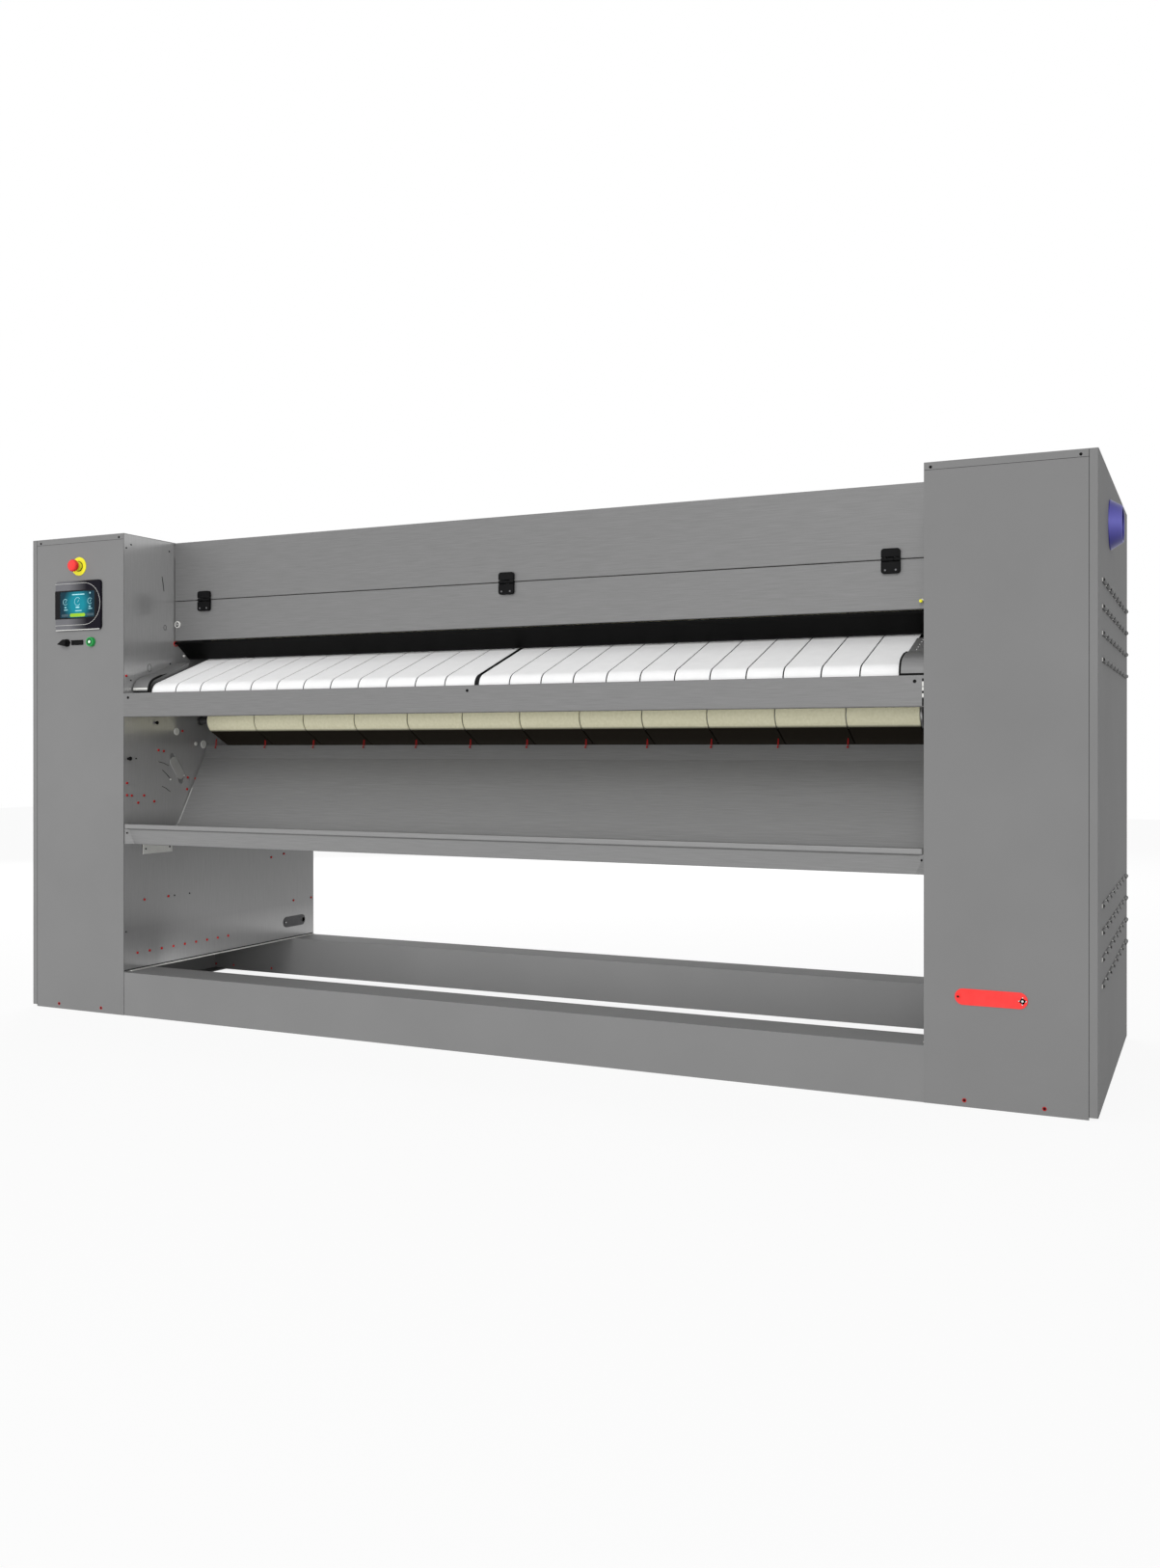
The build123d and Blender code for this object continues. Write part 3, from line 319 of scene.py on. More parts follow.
def rgba(colour):
    """A display colour as a shader's colour."""
    return [linear(c) for c in colour] + [1]


def toned(tree, shader, factor, dark, light, ends=(0.3, 0.7)):
    """Runs the base colour between two display colours by a factor, and returns it."""
    ramp = added(tree, "ValToRGB", {"Fac": factor})
    for stop, position, colour in zip(ramp.color_ramp.elements, ends, (dark, light)):
        stop.position = position
        stop.color = rgba(colour)
    supply(tree, shader, {"Base Color": ramp.outputs["Color"]})
    return ramp.outputs["Color"]


def overlaid(tree, shader, under, over, factor, kind="MIX"):
    """Makes the base colour one colour mixed over another."""
    mix = added(tree, "Mix", {})
    mix.data_type = "RGBA"
    mix.blend_type = kind
    supply(tree, mix, {"A": under, "B": over, "Factor": factor})
    supply(tree, shader, {"Base Color": mix.outputs["Result"]})


def lit(tree, shader, colour, strength):
    """Lets a finish glow."""
    supply(tree, shader, {"Emission Color": colour, "Emission Strength": strength})


def raised(tree, shader, height, strength, distance):
    """Adds a height texture; the distance is in millimetres."""
    bump = added(tree, "Bump", {"Strength": strength, "Distance": distance / 1000, "Height": height})
    supply(tree, shader, {"Normal": bump.outputs["Normal"]})


# %% [markdown]
# Powder coat on the covers and the frame: sprayed dry and baked, so it lies a little uneven, like orange
# peel. It photographs as one even mid grey, on the frame as on the covers; the motor is blue-grey.

# %% Painted sheet
for name, tint, rough in (
    ("panel_paint", grey(132), 0.65), ("frame_paint", grey(134), 0.65), ("motor_paint", (80, 88, 106), 0.45),
):
    tree, shader = new_finish(name, rough, specular=0.15)
    toned(tree, shader, noise(tree, 3.0), shifted(tint, -3), shifted(tint, 1))
    raised(tree, shader, noise(tree, 900, 1.0), 0.12, 0.05)

tree, shader = new_finish("guard_black", 0.6, specular=0.1)
toned(tree, shader, noise(tree, 8), grey(2), grey(5))
raised(tree, shader, noise(tree, 700, 1.0), 0.1, 0.05)

# %% [markdown]
# Stainless sheet of the hood, tray and inner walls: belt-ground in one direction, which draws fine streaks
# along the length and blurs reflections across it. Turned and bare parts shine more.

# %% Ground stainless, plated and bare steel
def steel(name, tint, rough, stretch):
    """A streaked metal; sheet is less metallic than a bare part."""
    tree, shader = new_finish(name, rough, metallic=0.45 if name.endswith("sheet") else 0.9)
    streaks = noise(tree, 14, 4.0, stretch)
    raised(tree, shader, streaks, 0.04, 0.05)
    return tree, shader, toned(tree, shader, streaks, shifted(tint, -8), shifted(tint, 4))


for name, tint, rough, stretch in (
    ("polished_sheet", grey(128), 0.45, (1, 1, 60)), ("tray_sheet", grey(142), 0.45, (1, 1, 60)),
    ("roller_steel", grey(170), 0.34, (1, 60, 60)), ("bright_steel", grey(196), 0.22, (1, 1, 1)),
    ("machined_iron", grey(105), 0.5, (40, 1, 1)), ("chain_steel", grey(96), 0.42, (1, 1, 1)),
    ("heater_steel", (120, 114, 106), 0.5, (1, 30, 30)),
):
    steel(name, tint, rough, stretch)

# %% [markdown]
# The inner walls are brighter and streaked from front to rear. Painted shade runs with the height above the
# floor, given in pairs of metres and brightness: it is darkest just under the tray.

# %% Wall sheet with painted shade by height
tree, shader, metal = steel("wall_sheet", grey(190), 0.22, (1, 60, 1))
# Painted shade: a ramp on height darkens the metal, most just under the tray.
wall_painted_shade = added(tree, "ValToRGB", {"Fac": own_axis(tree, "Z")})
levels = ((0.16, 0.85), (0.27, 0.5), (0.54, 0.36), (0.66, 1.0))
wall_painted_shade.color_ramp.elements[0].position = levels[0][0]
wall_painted_shade.color_ramp.elements[1].position = levels[-1][0]
for height, _ in levels[1:-1]:
    wall_painted_shade.color_ramp.elements.new(height)
for stop, (_, level) in zip(wall_painted_shade.color_ramp.elements, levels):
    stop.color = (level, level, level, 1)
overlaid(tree, shader, metal, wall_painted_shade.outputs["Color"], 1.0, "MULTIPLY")

# %% [markdown]
# Hot-dipped zinc crystallises in flat spangles of slightly different grey, drawn here by a cell texture.

# %% Galvanised sheet
tree, shader = new_finish("galvanised", 0.45, metallic=0.85)
spangle = added(tree, "TexVoronoi", {"Scale": 60, "Vector": own_space(tree)})
toned(tree, shader, spangle.outputs["Color"], grey(150), grey(182))

# %% [markdown]
# Moulded plastics take a faint eggshell texture from the tool. Signal colours are the standard ones: red
# for stop and for the covers that must be noticed, yellow behind the stop button. Dark ones are duller.

# %% Plastics
for name, colour, rough in (
    ("blue_plastic", (84, 80, 186), 0.4), ("bezel_plastic", (38, 36, 44), 0.32),
    ("signal_yellow", (255, 250, 62), 0.5), ("signal_red", (255, 66, 64), 0.42),
    ("black_plastic", (9, 9, 10), 0.6), ("switch_red", (196, 28, 22), 0.4),
    ("lamp_green", (44, 170, 84), 0.35), ("cap_green", (22, 96, 50), 0.3),
    ("red_lacquer", (176, 14, 16), 0.5), ("dark_rubber", (26, 26, 27), 0.7),
    ("grey_plastic", (120, 120, 122), 0.45), ("white_plastic", (226, 226, 222), 0.4),
    ("black_gloss", (16, 15, 18), 0.15), ("cover_grey", (78, 78, 80), 0.5),
    ("screen_slate", (58, 84, 94), 0.4), ("edge_grey", (178, 178, 176), 0.4),
):
    tree, shader = new_finish(name, rough, specular=0.15 if "black" in name or "dark" in name else 0.4)
    toned(tree, shader, noise(tree, 40), shifted(colour, -8), colour)
    raised(tree, shader, noise(tree, 2500, 1.0), 0.1, 0.02)

# %% [markdown]
# The cowl's colour holds painted shade and a painted highlight: paler where it faces sideways and darker
# where it faces up or down.

# %% Cowl plastic with painted shade
tree, shader = new_finish("cowl_plastic", 0.35, specular=0.4)
# Painted shade and highlight from the surface's facing: the more it faces up or down, the darker.
cowl_painted_shade = added(tree, "Math", {0: own_axis(tree, "Z", "Normal")})
cowl_painted_shade.operation = "ABSOLUTE"
toned(tree, shader, cowl_painted_shade.outputs["Value"], (116, 114, 206), (30, 22, 132), ends=(0.05, 0.7))

# %% [markdown]
# The belts are cloth. Feed belts are woven cotton, smooth and white; ironing belts are needled felt that has
# yellowed with heat. Below a height the felt is painted dark brown, as painted shade on the lower run under
# the cylinder. Waves and noise draw weave and nap.

# %% Belting
tree, shader = new_finish("feed_belting", 0.85, specular=0.2)
supply(tree, shader, {"Sheen Weight": 1.0, "Sheen Roughness": 0.4})
toned(tree, shader, noise(tree, 25), grey(247), grey(253))
warp = added(tree, "TexWave", {"Scale": 300, "Distortion": 0.4, "Vector": own_space(tree)})
raised(tree, shader, warp.outputs["Fac"], 0.1, 0.1)

# Below these heights the ironing felt is painted dark brown: painted shade on the lower run.
PAINTED_SHADE_BELOW, UNSHADED_ABOVE = 0.915, 0.922  # metres above the floor
tree, shader = new_finish("ironing_belting", 0.95, specular=0.1)
felt = toned(tree, shader, noise(tree, 120, 5.0), (238, 234, 201), (248, 244, 214))
lower_run_painted_shade = between(tree, own_axis(tree, "Z"), UNSHADED_ABOVE, PAINTED_SHADE_BELOW)
overlaid(tree, shader, felt, rgba((33, 29, 23)), lower_run_painted_shade)
raised(tree, shader, noise(tree, 900, 3.0), 0.2, 0.3)

# %% [markdown]
# The display window is glossy glass over a dark panel whose teal is brightest in the middle, as a lit
# screen's is. The face round it fades from grey at its left edge to black. The display's marks glow in their
# own colour, and the start lens glows white as a painted highlight.

# %% Display glass, its face, its marks and the start lens's painted highlight
SCREEN_MIDDLE = spot(-1462, -7, 1330)
FACE_LEFT, FACE_RIGHT = -1.5588, -1.3611  # X in metres
tree, shader = new_finish("screen_glass", 0.12, specular=0.15)
apart = added(tree, "VectorMath", {0: own_space(tree), 1: SCREEN_MIDDLE})
apart.operation = "DISTANCE"
spread = added(tree, "Math", {0: apart.outputs["Value"], 1: 11.0})
spread.operation = "MULTIPLY"
lit(tree, shader, toned(tree, shader, spread.outputs["Value"], (6, 122, 138), (4, 44, 58)), 0.26)

tree, shader = new_finish("bezel_face", 0.2, specular=0.12)
toned(tree, shader, between(tree, own_axis(tree, "X"), FACE_LEFT, FACE_RIGHT), (112, 112, 116), (10, 7, 20))

for name, colour in (
    # The start lens's white glow is a painted highlight.
    ("start_lamp", (214, 250, 222)), ("screen_white", (160, 214, 222)), ("screen_lime", (140, 184, 14)),
):
    tree, shader = new_finish(name, 0.3)
    dimmer = tuple(int(c * 0.9) for c in colour)
    lit(tree, shader, toned(tree, shader, noise(tree, 60), dimmer, colour), 0.4)

# %% [markdown]
# Every node takes the finish of its slot, but for the few that photograph otherwise. Among these, the black
# feed table and dark feed roller are painted shade, and the white tray brackets painted light.

# %% Put the finishes on the CAD nodes
special = {"left_inner_wall": "wall_sheet", "right_inner_wall": "wall_sheet", "touch_panel": "bezel_face",
           # Black feed table and dark front feed roller: painted shade in the gaps between the feed belts.
           "wall_cover": "cover_grey", "feed_table": "guard_black", "collection_tray": "tray_sheet",
           # White tray brackets: painted light on steel brackets that lie in the tray's shade.
           "tray_brackets": "white_plastic", "feed_front_roller": "dark_rubber"}
for name, obj in nodes.items():
    obj.data.materials.clear()
    obj.data.materials.append(finishes[special.get(name, slot_of[name])])
print(len(finishes), "finishes on", len(nodes), "nodes")

# %% [markdown]
# ## Belts
# A belt runs straight between rollers and lies on each in an arc. The same tangent construction as in the
# CAD gives the line, here in fine steps, and a section with rounded edges is carried round it. A bevelled
# curve could do this too, but it may twist where a belt bends both ways.

# %% Belt line and belt
def heading(first, second):
    """Direction of the straight run that touches two circles of signed radius, one after the other."""
    across, up = second[0] - first[0], second[1] - first[1]
    return math.atan2(up, across) - math.asin((second[2] - first[2]) / math.hypot(across, up))


def belt_line(circles, step=6.0, span=60.0):
    """Points (depth, height, travel direction) all round a belt's inner face, in millimetres."""
    count = len(circles)
    leaving = [heading(circles[k], circles[(k + 1) % count]) for k in range(count)]
    line = []
    for k, (y, z, radius) in enumerate(circles):
        hand = math.copysign(1, radius)
        turn = (leaving[k] - leaving[k - 1]) * hand % (2 * math.pi)
        parts = max(2, math.ceil(math.degrees(turn) / step))
        for n in range(parts + 1):
            way = leaving[k - 1] + hand * turn * n / parts
            line.append((y + radius * math.sin(way), z - radius * math.cos(way), way))
        next_y, next_z, next_r = circles[(k + 1) % count]
        start_y, start_z, way = line[-1]
        end_y, end_z = next_y + next_r * math.sin(way), next_z - next_r * math.cos(way)
        runs = int(math.hypot(end_y - start_y, end_z - start_z) // span)
        for part in (n / runs for n in range(1, runs)):
            line.append((start_y + (end_y - start_y) * part, start_z + (end_z - start_z) * part, way))
    return line


def belt(name, line, x, width, thickness, edge, slot):
    """One endless belt centred at x, its section a flat strip with rounded edges."""
    half = width / 2
    section = [
        (-half + edge, 0), (half - edge, 0), (half, edge), (half, thickness - edge),
        (half - edge, thickness), (-half + edge, thickness), (-half, thickness - edge), (-half, edge),
    ]
    bm = bmesh.new()
    rings = []
    for depth, height, way in line:
        out = (math.sin(way), -math.cos(way))
        rings.append([
            bm.verts.new(spot(x + u, depth + out[0] * v, height + out[1] * v)) for u, v in section
        ])
    skinned(bm, rings, closed=True)
    return piece(name, bm, slot)


# %% [markdown]
# The rollers stand as in the CAD, each with its depth, height and radius. The ironing belts go one way round
# the cylinder and the other way round the rollers, so there the cylinder's radius counts as negative.

# %% Rollers and ironing belts
FIT = 0.3  # between a roller and its belts
CYLINDER = (665, 1165)
CYLINDER_RADIUS = 250
NIP_REACH, NIP_ANGLE = 297.1, math.radians(165)  # from the cylinder's axis
rollers = {
    "nip": (CYLINDER[0] + NIP_REACH * math.cos(NIP_ANGLE), CYLINDER[1] + NIP_REACH * math.sin(NIP_ANGLE), 40),
    "front_return": (358.5, 952.5, 40.7), "rear_low": (921, 652, 40), "rear_up": (948, 1430, 40),
    "top_front": (415, 1440, 40), "feed_front": (88, 1036, 35), "feed_rear": (375.9, 1146.1, 30),
}


def wrapped(*names):
    """The circles that a belt's inner face follows on some rollers."""
    return [(depth, height, radius + FIT) for depth, height, radius in (rollers[name] for name in names)]


IRONING_PITCH, IRONING_WIDTH, IRONING_THICKNESS = 200, 197, 4
on_cylinder = (*CYLINDER, -(CYLINDER_RADIUS + IRONING_THICKNESS + FIT))
line = belt_line([*wrapped("nip"), on_cylinder, *wrapped("front_return", "rear_low", "rear_up", "top_front")])
for k in range(12):
    made = belt(f"ironing_belt_{k + 1:02d}", line, IRONING_PITCH * (k - 5.5), IRONING_WIDTH,
                IRONING_THICKNESS, 1.2, "ironing_belting")
    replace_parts(made, "ironing_belts")
print("ironing belt points", len(line))

# %% [markdown]
# Feed belts are thin cotton bands round two rollers, in two groups of twelve. The dark gaps between them are
# what the eye sees, so width and pitch matter more than the thickness.

# %% Feed belts
FEED_PITCH = 100 - 8 / 24
GROUP_MIDDLE = 604  # of twelve belts; the gap between the two groups is wider
line = belt_line(wrapped("feed_front", "feed_rear"), step=8)
for k in range(24):
    side = -1 if k < 12 else 1
    x = side * GROUP_MIDDLE + FEED_PITCH * (k % 12 - 5.5)
    made = belt(f"feed_belt_{k + 1:02d}", line, x, 96.0, 1.3, 0.25, "feed_belting")
    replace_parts(made, "feed_belts")

# %% [markdown]
# ## Covers
# The covers are held by small dark socket screws along their flanges, and the machine's lower edges by
# red-capped ones. Only their heads show.

# %% Cover screws
screws("top_cover_screws", [spot(x, 0, 1538) for x in (-1630, -1290, 1287, 1629.5)], TO_FRONT,
       "panel_paint", 3.6, finish="black_plastic")
feet = [spot(x, 0, 16) for x in (-1550, -1367, 1367, 1550)]
bm = bmesh.new()
for foot in feet:
    turned(bm, [(5, 0), (5, 0.8), (3, 0.8), (3, 0)], foot, TO_FRONT, 20)
piece("foot_washers", bm, "panel_paint", finish="red_lacquer")
screws("foot_screws", feet, TO_FRONT, "panel_paint", 3.2, finish="black_plastic")
screws("crossbar_screws", [spot(x, 0, 1021) for x in (-1252, -1, 1249)], TO_FRONT,
       "panel_paint", 4.4, finish="black_plastic")
screws("rear_beam_screws", [spot(side * x, 879, 17) for x in (1368, 1550, 1635) for side in (-1, 1)],
       TO_FRONT, "frame_paint", 4, finish="red_lacquer")

# %% [markdown]
# The covers meet with a narrow dark joint: down the outer corner of each tower's front, and under its top.
# A dark strip laid on the paint stands for the gap, because the CAD's covers stay as they are.

# %% Cover joints
bm = bmesh.new()
for side, _ in SIDES:
    side_bar(bm, side, (1647.2, 1648.2), (-0.25, 0), (4, 1548))
    side_bar(bm, side, (1272, 1647), (-0.25, 0), (1530.8, 1531.6))
piece("cover_joints", bm, "panel_paint", finish="dark_rubber")

# %% [markdown]
# The side panel's louvres are lanced twice and pressed outwards into small bridges, open at both ends, so
# that warm air leaves and drips stay out. Each one spans its slot; a pale wedge at its front end is a painted
# highlight.
# Only the outer skin is drawn; a Solidify modifier thickens it, which is simpler than drawing both faces.

# %% Louvre bridges and their painted highlights
LOUVRE_ROWS = (1257.5, 1194.5, 1131.5, 1068.5, 485, 421.5, 358, 294.5)  # heights
LOUVRE_REACH = 41  # from a bridge's middle to its ends
louvres = [(146 + 110 * place, height) for height in LOUVRE_ROWS for place in range(8)]
arch = [(0, 6.2), (4.2, 5.6), (6.9, 3.2), (7.8, 0), (6.9, -3.2), (4.2, -5.6), (0, -6.2)]
bm = bmesh.new()
for depth, height in louvres:
    rings = [
        [bm.verts.new(spot(HALF + out * swell, depth + along, height + up * swell)) for out, up in arch]
        for along, swell in ((-LOUVRE_REACH, 0.9), (-35, 1), (35, 1), (LOUVRE_REACH, 0.9))
    ]
    for first, second in zip(rings, rings[1:]):
        for n in range(len(arch) - 1):
            bm.faces.new((first[n], first[n + 1], second[n + 1], second[n]))
bridges = piece("louvre_bridges", bm, "panel_paint", smooth=60)
sheet = bridges.modifiers.new("sheet", "SOLIDIFY")
sheet.thickness = 0.001
sheet.offset = -1
# Pale wedges at the bridges' front ends are painted highlights.
bm = bmesh.new()
for depth, height in louvres:
    near = depth - LOUVRE_REACH
    highlight_wedge = [(HALF - 0.4, near - 9), (HALF + 2.5, near - 1), (HALF - 0.4, near - 1)]
    plate(bm, highlight_wedge, "z", height - 4.5, height + 4.5)
piece("louvre_painted_highlights", bm, "panel_paint", finish="white_plastic")

# %% [markdown]
# ## Hood
# Black die-cast hinges carry the flap. Each is a pair of leaves with rounded far corners that meet round a
# barrel: the fixed leaf has the middle knuckle, the flap's leaf the two outer ones. Short bars on one axis
# make the knuckles, since cutting them from a long bar with Booleans leaves a worse mesh.

# %% Hinges
HINGES = (-1140, 0, 1140)
HINGE_REACH = 25  # from a hinge's middle to its ends
PIN_DEPTH, PIN_HEIGHT = 231, 1352
LEAF_FRONT, LEAF_BACK = 226, 236


def leaf(x, near, far, radius=8):
    """Outline of a hinge leaf, square at the barrel and round at its far corners."""
    side = 1 if far > near else -1
    outline = [(x - HINGE_REACH, near), (x + HINGE_REACH, near)]
    for centre, begin in ((x + HINGE_REACH - radius, 0), (x - HINGE_REACH + radius, 90)):
        outline += [(u, far + side * (v - radius)) for u, v in arc(centre, 0, radius, begin, 18, 6)]
    return outline


for k, x in enumerate(HINGES, 1):
    bm = bmesh.new()
    plate(bm, leaf(x, PIN_HEIGHT + 6.5, PIN_HEIGHT + 29), "y", LEAF_FRONT, LEAF_BACK)
    barrel(bm, x - 8, x + 8, PIN_DEPTH, PIN_HEIGHT, 5.5)
    box(bm, (x - 8, PIN_DEPTH, PIN_HEIGHT), (x + 8, LEAF_BACK, PIN_HEIGHT + 7))
    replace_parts(piece(f"hinge_{k}_fixed_leaf", bm, "black_plastic", bevel=0.8), "hinge_upper_leaves")
    bm = bmesh.new()
    plate(bm, leaf(x, PIN_HEIGHT - 6.5, PIN_HEIGHT - 37), "y", LEAF_FRONT, LEAF_BACK)
    for side in (-1, 1):
        inner, outer = sorted((x + side * 8.5, x + side * HINGE_REACH))
        barrel(bm, inner, outer, PIN_DEPTH, PIN_HEIGHT, 5.5)
        box(bm, (inner, PIN_DEPTH, PIN_HEIGHT - 7), (outer, LEAF_BACK, PIN_HEIGHT))
    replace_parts(piece(f"hinge_{k}_flap_leaf", bm, "black_plastic", "flap", bevel=0.8), "hinge_lower_leaves")
screws("hinge_flap_screws", [spot(x + side * 14, LEAF_FRONT, 1324) for x in HINGES for side in (-1, 1)],
       TO_FRONT, "black_plastic", 2.6, body="flap", finish="grey_plastic", rise=0.8)

# %% [markdown]
# A quarter-turn lock holds the flap's left end: a bright bezel ring, a dark barrel and a small wing. At the
# right end a yellow-capped pin shows, the flap's safety switch actuator.

# %% Flap lock and switch pin
LOCK = spot(-1255, 236, 1274)
bezel = [(8, 0), (11.5, 0), (11.5, 4), (10.5, 5.5), (8, 5.5), (8, 0)]
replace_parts(spun("lock_bezel", bezel, LOCK, TO_FRONT, "bright_steel", 32, body="lock",
                 finish="white_plastic"), "flap_lock")
spun("lock_barrel", [(7.8, 0), (7.8, 3), (0, 3)], LOCK, TO_FRONT, "bright_steel", body="lock",
     finish="dark_rubber")
bm = bmesh.new()
turned(bm, [(4.6, 3), (4.6, 6), (3.8, 7), (0, 7)], LOCK, TO_FRONT, 20)
plate(bm, moved(rounded(2.4, 8, 1.1), -1255, 1274), "y", 227.5, 231)
piece("lock_key", bm, "bright_steel", "lock", bevel=0.3)
spun("switch_pin", [(3.5, 0), (3.5, 9), (0, 9)], spot(1222, 236, 1242), TO_FRONT, "bright_steel", 12,
     body="flap", finish="white_plastic")
spun("switch_pin_cap", [(0, 9), (4, 9), (4.4, 11), (4.4, 16), (3, 18), (0, 18)], spot(1220, 236, 1239),
     TO_FRONT, "signal_yellow", 16, body="flap")

# %% [markdown]
# The guard is sprung shut: a red torsion spring lies round its pivot in the gap at each wall, and a white
# buffer stops it. Its lower edge is a rolled rubber lip, so that it doesn't bite fingers.

# %% Guard springs, buffers and lip
for side, label in SIDES:
    coil = [spot(side * (1267.3 + 2.6 * n / 72), depth, height)
            for n, (depth, height) in enumerate(arc(240, 1210, 8.5, 0, 15, 73))]
    coil += [spot(side * 1269.9, 262, 1203), spot(side * 1269.9, 268, 1196)]
    wire(f"guard_spring_{label}", coil, 0.8, "signal_red", finish="red_lacquer", smooth=80)
    spun(f"guard_buffer_{label}", [(4, 0), (4, 3), (3, 4.2), (0, 4.2)], spot(side * INNER, 283, 1172),
         (-side, 0, 0), "black_plastic", 16, finish="white_plastic")
bm = bmesh.new()
barrel(bm, -1264, 1264, 303.5, 1162.5, 2.6)
piece("guard_lip", bm, "guard_black", "guard", finish="dark_rubber")

# %% [markdown]
# ## Feed table ends
# A folded cap stands a little proud over each end of the table's nose, with a black seal on its inner side
# against the outermost belt and a black lip under it. Small rivets hold the right shroud.

# %% Nose caps and seals
nose = [(38, 1043), (40, 1056), (45, 1068), (52, 1077), (62, 1084), (76, 1090), (98, 1098), (110, 1099.4),
        (124, 1103)]
inside = [(122, 1100.8), (108, 1096.8), (92, 1089.6), (78, 1083.9), (64, 1078.4), (55, 1071.6), (49, 1062),
          (46.5, 1050), (46.5, 1043)]
for side, label in SIDES:
    cap = nose + [(y + 1.5, z - 2) for y, z in nose[:0:-1]] + [(39.5, 1043)]
    cut(f"nose_cap_{label}", cap, "x", side * 1207.2, side * 1266.2, "polished_sheet", bevel=0.3)
    cut(f"nose_seal_{label}", nose + inside, "x", side * 1201.8, side * 1207, "guard_black",
        finish="black_plastic", bevel=0.4)
    bm = bmesh.new()
    side_bar(bm, side, (1202, 1266), (39, 46), (1035.5, 1043))
    piece(f"nose_lip_{label}", bm, "guard_black", finish="black_plastic", bevel=0.6)
# A pale strip on the left cap only, along the bend of its rounded front, is a painted highlight.
cap_highlight_outline = [(37.6, 1047.4), (38.4, 1053.4), (39.6, 1053.2), (39.2, 1047.2)]
cut("nose_cap_painted_highlight", cap_highlight_outline, "x", -1266.2, -1207.2, "polished_sheet", finish="white_plastic", bevel=0.2)
screws("shroud_rivets", [spot(1226, d, 1081.8 + (d - 70.8) * 0.3846) for d in range(120, 221, 20)],
       (0, -0.36, 0.93), "bright_steel", 2.6, rise=1.2, socket=False)

# %% [markdown]
# At its right end the crossbar shows a strip of pale and black layers.

# %% Crossbar end
for label, spans, finish in (
    ("white", ((1008.6, 1020), (998.5, 1006.7), (982.5, 991)), "white_plastic"),
    ("black", ((1021, 1027.5), (992, 997), (961, 980)), "black_plastic"),
):
    bm = bmesh.new()
    for low, high in spans:
        box(bm, (1266.8, -0.8, low), (1270.6, 0, high))
    piece(f"crossbar_end_{label}", bm, "bright_steel", finish=finish, bevel=0.2)

# %% [markdown]
# ## Rollers
# The rollers turn on still axles. The real axles are round bars with flats at their ends, so round ones are
# shown for the CAD's square ones; a ball bearing closes each roller's end.

# %% Axles and end bearings
seal = [(10.3, 1193), (14.3, 1193), (14.3, 1204), (12.8, 1203.2), (12, 1203.2), (10.3, 1204), (10.3, 1193)]
for name, (depth, height, _) in rollers.items():
    thick = 11.5 if name == "front_return" else 10
    end = [(10, 1234), (thick, 1234), (thick, 1260), (thick + 3.5, 1260), (thick + 3.5, 1266), (thick, 1266),
           (thick, 1283), (8, 1289), (0, 1289)]
    profile = [(radius, -along) for radius, along in end[::-1]] + end
    axle = spun(f"{name}_axle", profile, spot(0, depth, height), TO_RIGHT, "machined_iron")
    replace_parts(axle, "roller_axles")
    bm = bmesh.new()
    for side in (-1, 1):
        turned(bm, seal, spot(0, depth, height), (side, 0, 0))
    piece(f"{name}_bearings", bm, "roller_steel", name, finish="dark_rubber")

# %% [markdown]
# ## Tray
# Red wire fingers with ball ends hang from the tray's top edge, one at each belt seam, and lift the linen
# off the belts. The tray is screwed to its brackets, and its ends are hemmed; the hems are pale grey as a
# painted highlight, and a thin pale bar along the back's fold is a painted highlight too. A finger is a bar
# swept along six points, so it keeps its round section in the bends.

# %% Tray fingers, hems and screws
bm = bmesh.new()
for k in range(12):
    x = -1213 + 200 * k - (10 if k == 0 else 0)
    path = [spot(x + 1, 391, 866), spot(x + 1, 391, 886), spot(x + 1, 390, 890), spot(x + 1, 388, 888),
            spot(x, 386.5, 874), spot(x, 385, 863)]
    swept(bm, path, 1.0)
    bmesh.ops.create_uvsphere(bm, u_segments=12, v_segments=8, radius=0.003,
                              matrix=Matrix.Translation(spot(x, 385, 861.5)))
piece("tray_fingers", bm, "signal_red", finish="red_lacquer", smooth=80)

hem = [(250, 604), (318, 722), (315.5, 723.5), (247.4, 605.5)]
tab = ((1270.5, 4, 600), (1270.5, 4, 551), (1247, 24.2, 551), (1257, 9.2, 600))
for side, label in SIDES:
    # The hems' pale grey is a painted highlight.
    cut(f"tray_hem_{label}", hem, "x", side * 1266.2, side * 1262.2, "bright_steel",
        finish="edge_grey", bevel=0.2)
    bm = bmesh.new()
    near, far = ([bm.verts.new(spot(side * x, y + back, z)) for x, y, z in tab] for back in (0, 1.2))
    bm.faces.new(near)
    bm.faces.new(far)
    skinned(bm, [near, far])
    piece(f"tray_tab_{label}", bm, "polished_sheet", finish="tray_sheet")
    screws(f"bracket_screws_{label}", [spot(side * 1268, d, 529) for d in (97, 209)], (-side, 0, 0),
           "black_plastic", 3.2)
# A thin pale bar on the fold: a painted highlight.
wire("tray_fold_painted_highlight", [spot(x, 376.6, 824.4) for x in (-1262, 0, 1262)], 0.5, "polished_sheet",
     finish="edge_grey")
screws("tray_screws", [spot(side * 1264, 8.3, 586) for side in (-1, 1)], TO_FRONT, "black_plastic", 2.8)

# %% [markdown]
# ## Inner walls
# The left wall is studded with the fastenings of what sits behind it: red ones are sealed, dark ones are
# plain socket screws, light discs are plastic plugs. Thin scored lines are the edges of pressed brackets.

# %% Fittings of the left wall
def wall(depth, height, out=0.0):
    """A point on the left inner wall."""
    return spot(-INNER + out, depth, height)


